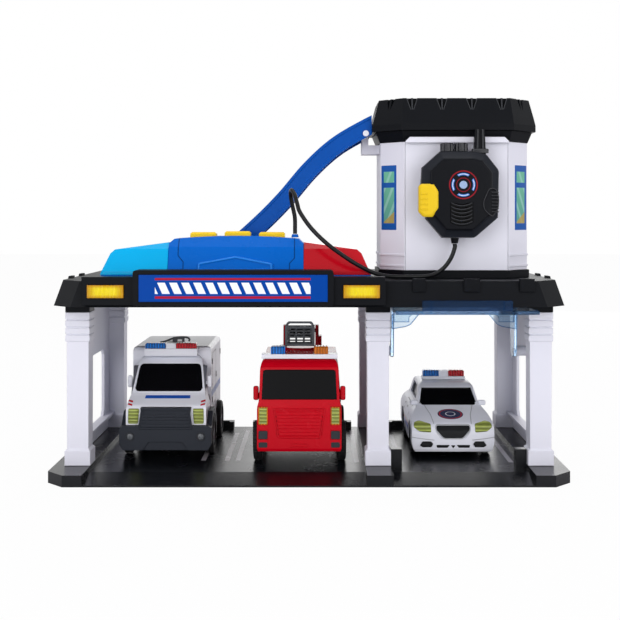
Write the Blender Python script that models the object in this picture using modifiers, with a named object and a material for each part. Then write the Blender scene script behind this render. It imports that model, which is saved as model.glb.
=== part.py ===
"""Rescue centre playset: a three-bay toy station with its console, tower, handset and vehicles.

Metres, +Z up. The front of the toy faces -Y, and the origin is the bottom centre of the whole object.
Every piece of the toy is one object, and the solids that cut or complete a piece are kept beside them
in a collection of their own.
"""
import math

import bmesh
import bpy
from mathutils import Matrix, Vector

OBJECT_NAME = "rescue_centre_playset"

# Clearances that the whole toy shares
seat_gap = 0.0003            # between two pieces that rest on each other
running_gap = 0.0004         # round an axle, a pin or a button
overrun = 0.004              # how far a cutter runs past the faces it cuts
blend_depth = 0.0006         # how far joined shapes run into each other
skin = 0.0022                # wall of a moulded shell

# Floor tray
base_width = 0.480
base_depth = 0.241
base_corner = 0.0166
front_overhang = 0.0165      # how far the open door stands in front of the tray
floor_height = 0.007
pad_height = 0.0107
ramp_lip = 0.0015
ramp_run = 0.029
rib_pocket = 0.040
rib_width = 0.0035
pocket_depth = 0.0035
stop_width = 0.110
stop_height = 0.0085
stop_bar = 0.005
stop_leg = 0.011
stop_setback = 0.0045
door_block_width = 0.0103
door_block_depth = 0.009
door_block_height = 0.018

# Posts and walls
post_setback = 0.0385
post_inset = 0.0124
post_width = 0.0200
post_depth = 0.0188
right_bay_width = 0.1329      # between the right bay's posts
plinth_height = 0.0155
plinth_overhang = 0.0020
wall_top = 0.1546
wall_skin = 0.0030
capital_height = 0.0278
capital_overhang = 0.0014
capital_groove = 0.0003
window_bottom = 0.029
window_top = 0.1014
window_back_margin = 0.026
window_corner = 0.006
wall_drop = 0.001
sill_depth = 0.006
sill_height = 0.003

# Upper deck
deck_bottom = 0.1626
deck_top = 0.1860
deck_overhang = 0.0079        # past the outer posts
deck_flare = 0.007
deck_corner = 0.0199
deck_skin = 0.0025
tab_height = 0.0095
tab_depth = 0.0016
tab_widths = (0.0117, 0.0145, 0.0133)
tab_centres = (0.0999, 0.1480, 0.1980)
kerb_height = 0.0022

# Sign and amber lamps on the deck's front
sign_left_margin = 0.0318     # from the deck's left tip to the lamp's housing
sign_right_overrun = 0.0041   # past the middle post's centre
sign_lamp_gap = 0.0035        # between the sign's frame and a lamp's housing
sign_frame_height = 0.0323
sign_frame_bottom = 0.1645
sign_frame_depth = 0.0125
sign_corner = 0.003
sign_rim = 0.0055
sign_rim_height = 0.00415
sign_plate_thickness = 0.0020
lamp_housing_width = 0.0430
lamp_housing_height = 0.0260
lamp_housing_depth = 0.0080
lamp_width = 0.0325
lamp_height = 0.0115
lamp_depth = 0.0055
lamp_pocket_depth = 0.0030
lamp_rib_depth = 0.0008
lamp_rib_count = 9

# Console
console_left_margin = 0.0420  # from the deck's left tip
console_tower_gap = 0.0093    # from the tower's plinth
console_front = 0.0195       # how far its front stands behind the tray's front edge
console_depth = 0.0500
console_width = 0.1254
console_height = 0.0377
console_crown = 0.0026
console_base_height = 0.0043
console_corner = 0.004
lens_height = 0.0298
lens_wall = 0.0020
relief_depth = 0.0010
button_spacing = 0.0080
button_outlet_gap = 0.0060
button_depth = 0.0120
button_rise = 0.0042
button_stem = 0.0060
button_corner = 0.0015
battery_width = 0.070
battery_height = 0.020
battery_thickness = 0.0018
outlet_radius = 0.0036
outlet_height = 0.0030
outlet_inset_x = 0.0039
outlet_inset_y = 0.0190

# Tower
tower_offset = 0.00135        # left of the right bay's middle
tower_setback = 0.0100       # behind the front of the posts
tower_half_width = 0.0710
tower_depth = 0.1080
tower_corner = 0.0212
tower_height = 0.1219
tower_plinth_height = 0.0072
tower_plinth_overhang = 0.0020
tower_panel_thickness = 0.0025
band_height = 0.0020
band_depth = 0.0008
band_first = 0.0030
band_pitch = 0.0103
collar_height = 0.0100
collar_overhang = 0.0046
collar_relief_height = 0.0050
collar_relief_width = 0.1000
roof_height = 0.0308
roof_rim_overhang = 0.0078
roof_fold_overhang = 0.0062
roof_top_overhang = 0.0015
roof_rim_height = 0.0060
roof_fold_height = 0.0130
roof_deck_sink = 0.0050
roof_wall = 0.0060
roof_inner_skin = 0.0030
notch_width = 0.0100
notch_height = 0.0115
notch_depth = 0.0035
notch_rib = 0.0022
notch_pitch = 0.0283

# Slide between the tower and the deck
slide_run = 0.1850
slide_rise = 0.1383
slide_wall = 0.0018
slide_height = 0.0170
slide_floor_low = 0.0080
slide_runout_share = 0.22
slide_floor_thickness = 0.0024
slide_width = 0.0560
slide_pin_radius = 0.0018
slide_pin_inset = 0.0040
slide_pin_head = 0.0030
slide_pin_head_thickness = 0.0012
bracket_width = 0.0200
bracket_wall = 0.0015
bracket_root = 0.0090

# Garage door of the right bay
door_side_gap = 0.00255       # to the post on either side
door_height = 0.1420
door_thickness = 0.0030
door_drop = 0.0022           # below the deck's lower edge when open
door_closed_setback = 0.0013 # behind the front of the posts when closed
door_closed_gap = 0.0012     # above the floor when closed
door_handle_width = 0.0800
door_handle_height = 0.0094
door_handle_thickness = 0.0030
door_arm_thickness = 0.0026
door_arm_width = 0.0150
door_rib_setback = 0.0950
door_rib_drop = 0.0190
door_rib_leg = 0.0150
door_rib_band = 0.0040
door_rib_thickness = 0.0024
door_pin_radius = 0.0024
door_boss_radius = 0.0050
door_bearing_wall = 0.0026

# Handset and its clip on the tower
handset_offset = 0.0004       # right of the tower's middle
handset_bottom = 0.2249
handset_width = 0.0722
handset_height = 0.0805
handset_back_depth = 0.0095
handset_front_depth = 0.0095
handset_corner = 0.0030
aerial_width = 0.0108
aerial_depth = 0.0085
aerial_rise = 0.0213
aerial_offset = 0.0191
knob_radius = 0.0056
knob_rise = 0.0075
knob_offset = 0.0016
knob_flute_depth = 0.0006
knob_flutes = 10
second_knob_offset = -0.0114
badge_radius = 0.0138
badge_rise = 0.0008
badge_offset_x = 0.0030
badge_share = 0.612
slot_width = 0.0200
slot_height = 0.0015
slot_pitch = 0.0036
slot_count = 5
slot_depth = 0.0015
slot_offset_x = 0.0014
slot_top_share = 0.34
talk_width = 0.0190
talk_height = 0.0310
talk_depth = 0.0090
talk_rise = 0.0030
talk_low_share = 0.24
talk_travel = 0.0020
relief_radius = 0.0040
relief_length = 0.0050
relief_offset_x = -0.0040
clip_width = 0.0300
clip_height = 0.0340
clip_bottom_share = 0.36
clip_plate = 0.0055
clip_lip = 0.0013
tongue_width = 0.0140
tongue_head = 0.0200
tongue_head_thickness = 0.0012
clip_floor = 0.0030

# Cord between the console and the handset
cord_radius = 0.0020
cord_point_spacing = 2.3     # in diameters

# Vehicles, all three
truck_wheel_radius = 0.0190
car_wheel_radius = 0.0150
wheel_width = 0.0090
axle_radius = 0.0020
hub_radius = 0.0065
hub_recess = 0.0012
tyre_round = 0.0012
wheel_sides = 16
arch_gap = 0.0016
arch_sides = 20
vehicle_skin = 0.0020
mouth_lip = 0.0003           # step inside a shell's lower edge
chassis_plate = 0.0040
bearing_length = 0.0120
chassis_side_gap = 0.0010
bearing_cover = 0.0030       # plastic above the axle's bore
truck_track = 0.0900         # over the outer faces of the wheels
car_track = 0.0800

bar_corner = 0.0010
bar_post_width = 0.0100

# Ambulance in the left bay
ambulance_bay_share = 0.255
ambulance_stop_gap = 0.0069  # between its back and the wheel stop's bar
ambulance_length = 0.1450
ambulance_clearance = 0.0080
ambulance_height = 0.0970
ambulance_cab_height = 0.0885
ambulance_cab_width = 0.0785
ambulance_cab_length = 0.0520
ambulance_box_width = 0.0797
ambulance_box_start = 0.0450
ambulance_corner = 0.0040
ambulance_front_axle = 0.0300
ambulance_rear_axle = 0.1130
ambulance_bumper_height = 0.0236
ambulance_bumper_rise = 0.0018   # bumper's lower edge above the body's
ambulance_bumper_front = 0.0045  # bumper's face in front of the body's
ambulance_bumper_back = 0.0040   # bumper's back inside the body's nose
ambulance_grille_height = 0.0175
ambulance_fender_band = 0.0045
ambulance_bar_width = 0.0536
ambulance_bar_depth = 0.0095
ambulance_bar_height = 0.0072
ambulance_bar_inset = 0.0012
hook_width = 0.0150
hook_length = 0.0180
hook_pad = 0.0020
hook_thickness = 0.0024
hook_height = 0.0070
hook_setback = 0.0220

# Fire engine in the middle bay
engine_bay_share = 0.755
engine_stop_gap = 0.0380
engine_length = 0.1470
engine_width = 0.0802
engine_clearance = 0.0142
engine_height = 0.0866
engine_corner = 0.0035
engine_front_axle = 0.0330
engine_rear_axle = 0.1160
engine_bar_width = 0.0730
engine_bar_depth = 0.0120
engine_bar_height = 0.0042
engine_bar_setback = 0.0145
engine_lamp_width = 0.0137
engine_lamp_height = 0.0072
engine_lamp_pitch = 0.0415
slat_count = 6
slat_height = 0.0014
slat_depth = 0.0008
turntable_setback = 0.1105
turntable_radius = 0.0230
turntable_height = 0.0050
turntable_spindle_radius = 0.0050
turntable_spindle_length = 0.0040
turntable_arm_height = 0.0270
turntable_arm_thickness = 0.0036
turntable_arm_depth = 0.0150
turntable_box = 0.0110
ladder_pivot_height = 0.0160
ladder_pin_radius = 0.0020
ladder_length = 0.0780
ladder_width = 0.0290
ladder_rail = 0.0034
ladder_rail_height = 0.0052
ladder_rungs = 7
ladder_rung_radius = 0.0011
ladder_tail = 0.0050
cage_height = 0.0240
cage_depth = 0.0150
cage_wall = 0.0024
cage_drop = 0.0045
hoop_rise = 0.0045
hoop_band = 0.0020
hoop_half_shares = ((1, 0), (0.94, 0.7), (0.8, 1))

# Police car in the right bay
police_stop_gap = 0.0050
police_length = 0.1430
police_width = 0.0810
police_clearance = 0.0055
police_height = 0.0598
police_corner = 0.0045
police_front_axle = 0.0290
police_rear_axle = 0.1110
police_bar_width = 0.0454
police_bar_depth = 0.0110
police_bar_height = 0.0030
police_lamp_height = 0.0062

# Places that follow from the sizes above
half_base = base_width / 2
whole_depth = base_depth + front_overhang
base_front = front_overhang - whole_depth / 2
base_back = base_front + base_depth
post_front = base_front + post_setback
back_post_front = base_back - capital_overhang - plinth_overhang - post_depth
post_outer = half_base - post_inset
post_inner = post_outer - post_width
middle_post_x = post_inner - right_bay_width - post_width / 2
door_centre_x = post_inner - right_bay_width / 2
door_width = right_bay_width - 2 * door_side_gap
deck_half_width = post_outer + deck_overhang
wall_bottom = pad_height + seat_gap
side_rail = post_inset + post_width + plinth_overhang
middle_rail = post_width + 2 * plinth_overhang
deck_floor = deck_top + seat_gap
tower_x = door_centre_x - tower_offset
tower_front = post_front + tower_setback
handset_x = tower_x + handset_offset
sign_left = sign_left_margin - deck_half_width
sign_right = middle_post_x + sign_right_overrun
sign_centre_x = (sign_left + sign_right) / 2
lamp_pitch = sign_right - sign_left - lamp_housing_width
sign_frame_width = lamp_pitch - lamp_housing_width - 2 * sign_lamp_gap
sign_plate_width = sign_frame_width - 2 * sign_rim
sign_plate_height = sign_frame_height - 2 * sign_rim_height
console_left = console_left_margin - deck_half_width
console_right = tower_x - tower_half_width - tower_plinth_overhang - console_tower_gap
console_x = (console_left + console_right) / 2
lens_width = (console_right - console_left - console_width) / 2 - seat_gap
tower_y = tower_front + tower_depth / 2
tower_bottom = deck_floor + tower_plinth_height + seat_gap
tower_top = tower_bottom + tower_height
collar_bottom = tower_top + seat_gap
roof_bottom = collar_bottom + collar_height + seat_gap
roof_top = roof_bottom + roof_height
door_block_x = (door_width - door_block_width) / 2
stop_front = base_back - stop_setback - stop_bar

corner_inset_share = 2 - math.sqrt(2)   # keeps an eight-sided ring's walls parallel

PARTS = None
TOOLS = None


def start_scene():
    """Empty the file, then make one collection for the pieces and one for the shaping solids."""
    global PARTS, TOOLS
    for old in list(bpy.data.objects):
        bpy.data.objects.remove(old, do_unlink=True)
    PARTS = bpy.data.collections.new(OBJECT_NAME)
    TOOLS = bpy.data.collections.new("shaping_solids")
    bpy.context.scene.collection.children.link(PARTS)
    bpy.context.scene.collection.children.link(TOOLS)


def link(name, data):
    """Put new data in the scene as an object among the pieces."""
    thing = bpy.data.objects.new(name, data)
    PARTS.objects.link(thing)
    return thing


def as_tool(thing):
    """Move an object to the shaping solids, where it is neither built nor rendered."""
    if thing.name in PARTS.objects:
        PARTS.objects.unlink(thing)
        TOOLS.objects.link(thing)
    thing.hide_render = True
    thing.display_type = "WIRE"
    return thing


def boolean(target, operation, tools):
    """Add one Boolean modifier for each shaping solid."""
    for tool in tools:
        modifier = target.modifiers.new(operation.lower(), "BOOLEAN")
        modifier.operation = operation
        modifier.solver = "EXACT"
        modifier.object = as_tool(tool)
    return target


def cut(target, *tools):
    """Take the shaping solids away from the target."""
    return boolean(target, "DIFFERENCE", tools)


def add(target, *tools):
    """Fuse the shaping solids to the target."""
    return boolean(target, "UNION", tools)


def keep(target, *tools):
    """Keep only what the target shares with each shaping solid."""
    return boolean(target, "INTERSECT", tools)


def finish(thing, colour, roughness, metallic=0.0, alpha=1.0):
    """Give a piece its own material."""
    material = bpy.data.materials.new(thing.name)
    material.use_nodes = True
    shader = material.node_tree.nodes["Principled BSDF"]
    shader.inputs["Base Color"].default_value = (*colour, 1.0)
    shader.inputs["Roughness"].default_value = roughness
    shader.inputs["Metallic"].default_value = metallic
    shader.inputs["Alpha"].default_value = alpha
    thing.data.materials.clear()
    thing.data.materials.append(material)
    return thing


def put_origin(thing, point):
    """Move a piece's origin to a point without moving its surface."""
    thing.data.transform(Matrix.Translation(-Vector(point)))
    thing.location = point
    return thing


def gather(name, tools):
    """Join several shaping solids, as separate bodies, into one shaping solid."""
    depsgraph = bpy.context.evaluated_depsgraph_get()
    collected = bmesh.new()
    for tool in tools:
        mesh = bpy.data.meshes.new_from_object(tool.evaluated_get(depsgraph))
        mesh.transform(tool.matrix_world)
        collected.from_mesh(mesh)
        bpy.data.meshes.remove(mesh)
        bpy.data.objects.remove(tool, do_unlink=True)
    mesh = bpy.data.meshes.new(name)
    collected.to_mesh(mesh)
    collected.free()
    return as_tool(link(name, mesh))


def block(name, low, high):
    """Box between two opposite corners."""
    shape = bmesh.new()
    bmesh.ops.create_cube(shape, size=1.0)
    size = [b - a for a, b in zip(low, high)]
    centre = [(a + b) / 2 for a, b in zip(low, high)]
    bmesh.ops.scale(shape, vec=size, verts=shape.verts)
    bmesh.ops.translate(shape, vec=centre, verts=shape.verts)
    mesh = bpy.data.meshes.new(name)
    shape.to_mesh(mesh)
    shape.free()
    return link(name, mesh)


def rod(name, start, end, radius, sides=16, end_radius=None):
    """Cylinder or cone between two points."""
    start, end = Vector(start), Vector(end)
    shape = bmesh.new()
    bmesh.ops.create_cone(shape, cap_ends=True, segments=sides, radius1=radius,
                          radius2=radius if end_radius is None else end_radius,
                          depth=(end - start).length)
    turn = (end - start).to_track_quat("Z", "Y").to_matrix().to_4x4()
    shape.transform(Matrix.Translation((start + end) / 2) @ turn)
    mesh = bpy.data.meshes.new(name)
    shape.to_mesh(mesh)
    shape.free()
    return link(name, mesh)


PRISM_TURNS = {
    "X": Matrix(((0, 0, 1, 0), (1, 0, 0, 0), (0, 1, 0, 0), (0, 0, 0, 1))),
    "Y": Matrix(((1, 0, 0, 0), (0, 0, -1, 0), (0, 1, 0, 0), (0, 0, 0, 1))),
    "Z": Matrix.Identity(4),
}


def prism(name, outline, axis, low, high):
    """Flat outline drawn out along an axis, from low to high.

    The outline's two coordinates are (y, z) along X, (x, z) along Y and (x, y) along Z.
    """
    curve = bpy.data.curves.new(name, "CURVE")
    curve.dimensions = "2D"
    curve.fill_mode = "BOTH"
    curve.extrude = (high - low) / 2
    curve.render_resolution_u = 0
    spline = curve.splines.new("POLY")
    spline.points.add(len(outline) - 1)
    for point, (u, v) in zip(spline.points, outline):
        point.co = (u, v, 0, 1)
    spline.use_cyclic_u = True
    drawn = link(name + "_outline", curve)
    mesh = bpy.data.meshes.new_from_object(drawn.evaluated_get(bpy.context.evaluated_depsgraph_get()))
    bpy.data.objects.remove(drawn, do_unlink=True)
    middle = (low + high) / 2
    shift = {"X": (middle, 0, 0), "Y": (0, middle, 0), "Z": (0, 0, middle)}[axis]
    mesh.transform(Matrix.Translation(shift) @ PRISM_TURNS[axis])
    return link(name, welded(mesh))


def welded(mesh):
    """Close a mesh whose caps are loose, and face it outwards."""
    shape = bmesh.new()
    shape.from_mesh(mesh)
    bmesh.ops.remove_doubles(shape, verts=shape.verts, dist=1e-6)
    bmesh.ops.dissolve_limit(shape, angle_limit=math.radians(0.05), verts=shape.verts,
                             edges=shape.edges)
    bmesh.ops.recalc_face_normals(shape, faces=shape.faces)
    shape.to_mesh(mesh)
    shape.free()
    return mesh


def loft(name, rings):
    """Skin a stack of rings that have equally many points, capped at both ends."""
    shape = bmesh.new()
    rows = [[shape.verts.new(point) for point in ring] for ring in rings]
    count = len(rows[0])
    for lower, upper in zip(rows, rows[1:]):
        for i in range(count):
            j = (i + 1) % count
            shape.faces.new((lower[i], lower[j], upper[j], upper[i]))
    shape.faces.new(list(reversed(rows[0])))
    shape.faces.new(rows[-1])
    bmesh.ops.recalc_face_normals(shape, faces=shape.faces)
    mesh = bpy.data.meshes.new(name)
    shape.to_mesh(mesh)
    shape.free()
    return link(name, mesh)


def turned(name, profile, centre, steps):
    """Revolve a profile of (radius, distance along X) points about an X axis through the centre."""
    mesh = bpy.data.meshes.new(name)
    points = [(radius, 0, along) for radius, along in profile]
    mesh.from_pydata(points, [(i, i + 1) for i in range(len(points) - 1)], [])
    thing = link(name, mesh)
    screw = thing.modifiers.new("revolve", "SCREW")
    screw.axis = "Z"
    screw.steps = steps
    screw.render_steps = steps
    screw.use_merge_vertices = True
    screw.merge_threshold = 0.0001
    thing.rotation_euler = (0, math.pi / 2, 0)
    thing.location = centre
    return thing


def tube(name, points, radius, resolution):
    """Round tube along a row of points, with closed ends."""
    curve = bpy.data.curves.new(name, "CURVE")
    curve.dimensions = "3D"
    curve.bevel_depth = radius
    curve.bevel_resolution = resolution
    curve.render_resolution_u = 0
    curve.use_fill_caps = True
    spline = curve.splines.new("POLY")
    spline.points.add(len(points) - 1)
    for point, place in zip(spline.points, points):
        point.co = (*place, 1)
    return link(name, curve)


def rounded(points, radius, steps=2):
    """Replace each corner of an outline by a short curve."""
    result = []
    count = len(points)
    for i, corner in enumerate(points):
        corner = Vector(corner)
        before = Vector(points[i - 1]) - corner
        after = Vector(points[(i + 1) % count]) - corner
        reach = min(radius, before.length * 0.45, after.length * 0.45)
        start = corner + before.normalized() * reach
        end = corner + after.normalized() * reach
        for k in range(steps + 1):
            t = k / steps
            result.append(tuple(start * (1 - t) ** 2 + corner * 2 * t * (1 - t) + end * t ** 2))
    return result


def inset(points, distance):
    """Move every side of an outline inwards by a distance, or outwards where it is negative."""
    count = len(points)
    area = sum(points[i - 1][0] * points[i][1] - points[i][0] * points[i - 1][1] for i in range(count))
    way = 1 if area > 0 else -1
    result = []
    for i, corner in enumerate(points):
        corner = Vector(corner)
        before = (corner - Vector(points[i - 1])).normalized()
        after = (Vector(points[(i + 1) % count]) - corner).normalized()
        first = Vector((-before.y, before.x)) * way
        second = Vector((-after.y, after.x)) * way
        bend = (first + second).normalized()
        result.append(tuple(corner + bend * (distance / max(bend.dot(first), 0.3))))
    return result


def rectangle(x0, x1, y0, y1):
    """Outline of an upright rectangle."""
    return [(x0, y0), (x1, y0), (x1, y1), (x0, y1)]


def octagon(x, y, half_x, half_y, corner):
    """Outline of a rectangle whose four corners are cut off at 45 degrees."""
    a, b = half_x - corner, half_y - corner
    ring = [(a, -half_y), (half_x, -b), (half_x, b), (a, half_y),
            (-a, half_y), (-half_x, b), (-half_x, -b), (-a, -half_y)]
    return [(x + u, y + v) for u, v in ring]


def scaled(shares, origin, size):
    """Outline from shares of a width and a height, measured from an origin."""
    return [(origin[0] + u * size[0], origin[1] + v * size[1]) for u, v in shares]


def mirrored(shares):
    """Close a right-hand half outline, listed from bottom to top, with its mirror image."""
    return list(shares) + [(-u, v) for u, v in reversed(shares)]


def upright(outline, y):
    """Front outline placed at a depth."""
    return [(x, y, z) for x, z in outline]


def level(outline, z):
    """Lift a flat outline to a height."""
    return [(x, y, z) for x, y in outline]


CHARCOAL = (0.028, 0.029, 0.034)
WALL_WHITE = (0.78, 0.76, 0.84)
CAR_WHITE = (0.86, 0.87, 0.92)
CONSOLE_BLUE = (0.012, 0.075, 0.42)
SLIDE_BLUE = (0.010, 0.085, 0.62)
YELLOW = (0.93, 0.62, 0.03)
AMBER = (0.95, 0.30, 0.02)
LENS_RED = (0.72, 0.02, 0.03)
LENS_BLUE = (0.02, 0.22, 0.78)
LENS_CYAN = (0.10, 0.55, 0.80)
DOOR_BLUE = (0.03, 0.16, 0.60)
ENGINE_RED = (0.70, 0.015, 0.025)
DARK_GLASS = (0.010, 0.010, 0.013)
DARK_GREY = (0.070, 0.075, 0.085)
BLACK = (0.012, 0.012, 0.013)
LADDER_GREY = (0.16, 0.17, 0.18)


# Floor tray

def wheel_stop(name, x):
    """Low U-shaped bumper that a vehicle backs against."""
    half, bar, leg = stop_width / 2, stop_bar, stop_leg
    back = base_back - stop_setback
    outline = [(x - half, back), (x - half, back - leg), (x - half + bar, back - leg),
               (x - half + bar, back - bar), (x + half - bar, back - bar),
               (x + half - bar, back - leg), (x + half, back - leg), (x + half, back)]
    return prism(name, outline, "Z", floor_height - blend_depth, floor_height + stop_height)


def base_tray():
    """Floor of the station: three lanes behind a low front slope, raised rails under the walls."""
    slope = (floor_height - ramp_lip) / ramp_run
    side = [(base_front - overrun, -overrun), (base_back + overrun, -overrun),
            (base_back + overrun, floor_height), (base_front + ramp_run, floor_height),
            (base_front - overrun, ramp_lip - overrun * slope)]
    tray = prism("base_tray", side, "X", -half_base - overrun, half_base + overrun)
    low, high = base_front - overrun, base_back + overrun
    reach = half_base + overrun
    middle = middle_rail / 2
    add(tray,
        block("left_rail", (-reach, low, -overrun), (side_rail - half_base, high, pad_height)),
        block("right_rail", (half_base - side_rail, low, -overrun), (reach, high, pad_height)),
        block("middle_rail", (middle_post_x - middle, low, -overrun),
              (middle_post_x + middle, high, pad_height)))
    plan = octagon(0, (base_front + base_back) / 2, half_base, base_depth / 2, base_corner)
    keep(tray, prism("tray_plan", plan, "Z", 0, floor_height + stop_height + overrun))
    add(tray, *[wheel_stop(f"wheel_stop_{i}", x) for i, x in enumerate(bay_centres())])
    front = post_front + door_closed_setback + door_thickness + running_gap
    for side_sign in (-1, 1):
        x = door_centre_x + side_sign * door_block_x
        half = door_block_width / 2
        add(tray, block("door_block", (x - half, front, floor_height - blend_depth),
                        (x + half, front + door_block_depth, floor_height + door_block_height)))
    cut(tray, gather("tray_pockets", tray_pockets()))
    return finish(tray, CHARCOAL, 0.5)


def tray_pockets():
    """Square pockets that leave a grid of ribs under the tray."""
    pitch = rib_pocket + rib_width
    width = base_width - 2 * base_corner
    depth = base_depth - ramp_run - base_corner
    columns, rows = int((width - rib_width) // pitch), int((depth - rib_width) // pitch)
    left = -(columns * pitch - rib_width) / 2
    front = base_front + ramp_run + (depth - rows * pitch + rib_width) / 2
    pockets = []
    for row in range(rows):
        for column in range(columns):
            x, y = left + column * pitch, front + row * pitch
            pockets.append(block("pocket", (x, y, -overrun),
                                 (x + rib_pocket, y + rib_pocket, pocket_depth)))
    bpy.context.view_layer.update()
    return pockets


def bay_centres():
    """Middle of the ambulance's, the fire engine's and the police car's bay."""
    left, right = -post_inner, middle_post_x - post_width / 2
    return [left + (right - left) * ambulance_bay_share,
            left + (right - left) * engine_bay_share,
            door_centre_x]


# Posts and walls

def post(name, x, y):
    """Square post with a plinth and a capital of stacked bands, rail to deck."""
    top, tier = wall_top, capital_height / 4
    low = wall_bottom + plinth_height
    sections = [(wall_bottom, plinth_overhang), (low - plinth_overhang, plinth_overhang), (low, 0)]
    base = top - capital_height
    for i in range(4):
        z = base + i * tier
        sections += [(z, capital_groove), (z + tier * 0.15, capital_overhang),
                     (z + tier * 0.85, capital_overhang)]
    sections.append((top, capital_overhang))
    rings = []
    for z, out in sections:
        half_x, half_y = post_width / 2 + out, post_depth / 2 + out
        rings.append(level(rectangle(x - half_x, x + half_x, y - half_y, y + half_y), z))
    return loft(name, rings)


def post_places():
    """Depth of the front and back posts' centres."""
    return post_front + post_depth / 2, back_post_front + post_depth / 2


def side_wall(name, side):
    """Outer wall: two posts and a thin skin with a window between them."""
    front_y, back_y = post_places()
    x = side * (post_outer - post_width / 2)
    wall = post(name, x, front_y)
    outer = side * (post_outer - blend_depth)
    inner = side * (post_outer - blend_depth - wall_skin)
    low_x, high_x = min(outer, inner), max(outer, inner)
    panel = block(name + "_skin", (low_x, front_y, wall_bottom + blend_depth),
                  (high_x, back_y, wall_top - wall_drop))
    window = rounded(rectangle(front_y + post_depth / 2 + capital_overhang,
                               back_post_front - window_back_margin, window_bottom, window_top),
                     window_corner, 1)
    cut(panel, prism(name + "_window", window, "X", low_x - overrun, high_x + overrun))
    sill_x = sorted((inner + side * blend_depth, inner - side * sill_depth))
    sill = block(name + "_sill", (sill_x[0], front_y, window_bottom - sill_height),
                 (sill_x[1], back_y, window_bottom))
    add(wall, post(name + "_back_post", x, back_y), panel, sill)
    if side > 0:
        add_door_bearing(wall, inner + blend_depth, door_arm_outer(side) + running_gap)
    return finish(wall, WALL_WHITE, 0.45)


def middle_wall():
    """Solid partition between the middle and the right bay."""
    front_y, back_y = post_places()
    wall = post("middle_wall", middle_post_x, front_y)
    half = wall_skin / 2
    panel = block("middle_skin", (middle_post_x - half, front_y, wall_bottom + blend_depth),
                  (middle_post_x + half, back_y, wall_top - wall_drop))
    add(wall, post("middle_back_post", middle_post_x, back_y), panel)
    add_door_bearing(wall, middle_post_x + half - blend_depth, door_arm_outer(-1) - running_gap)
    return finish(wall, WALL_WHITE, 0.45)


def add_door_bearing(wall, root_x, face_x):
    """Boss on a wall with the bore that a pin of the garage door turns in."""
    y, z = door_pivot()
    way = 1 if face_x > root_x else -1
    boss = rod("door_bearing", (root_x, y, z), (face_x, y, z), door_boss_radius)
    bore = rod("door_bore", (root_x + way * (blend_depth + door_bearing_wall), y, z),
               (face_x + way * overrun, y, z), door_pin_radius + seat_gap)
    add(wall, boss)
    return cut(wall, bore)


# Upper deck

def deck_ring(z, inward):
    """Outline of the deck's flared side at a height, moved inwards by a distance."""
    share = (z - deck_bottom) / (deck_top - deck_bottom)
    half_x = deck_half_width - deck_flare * share - inward
    half_y = base_depth / 2 - deck_flare * share - inward
    middle = (base_front + base_back) / 2
    return level(octagon(0, middle, half_x, half_y, deck_corner - inward * corner_inset_share), z)


def fascia_front(z):
    """Depth of the deck's sloping front face at a height."""
    return base_front + deck_flare * (z - deck_bottom) / (deck_top - deck_bottom)


def deck():
    """Upper floor: a shallow tray turned upside down, carried on a foot at each post."""
    top = loft("deck", [deck_ring(deck_bottom, 0), deck_ring(deck_top, 0)])
    hollow = loft("deck_hollow", [deck_ring(deck_bottom - overrun, deck_skin),
                                  deck_ring(deck_top - deck_skin, deck_skin)])
    feet = []
    half_x, half_y = post_width / 2 + capital_overhang, post_depth / 2 + capital_overhang
    for x in (-post_outer + post_width / 2, middle_post_x, post_outer - post_width / 2):
        for y in post_places():
            cut(hollow, block("foot_core", (x - half_x, y - half_y, deck_bottom - blend_depth),
                              (x + half_x, y + half_y, deck_top + overrun)))
            feet.append(block("deck_foot", (x - half_x, y - half_y, wall_top + seat_gap),
                              (x + half_x, y + half_y, deck_bottom + blend_depth)))
    cut(top, hollow)
    add(top, *feet)
    for width, x in zip(tab_widths, tab_centres):
        front = fascia_front(deck_top - tab_height)
        add(top, block("deck_tab", (x - width / 2, front - tab_depth, deck_top - tab_height),
                       (x + width / 2, front + deck_skin + tab_depth, deck_top + kerb_height)))
    return finish(top, CHARCOAL, 0.45)


# Sign and amber lamps

def lamp_centres():
    """Middle of the two amber lamps, left and right of the sign."""
    return sign_centre_x - lamp_pitch / 2, sign_centre_x + lamp_pitch / 2


def lamp_middle_z():
    """Height of the amber lamps' middle."""
    return sign_frame_bottom + lamp_housing_height / 2


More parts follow.
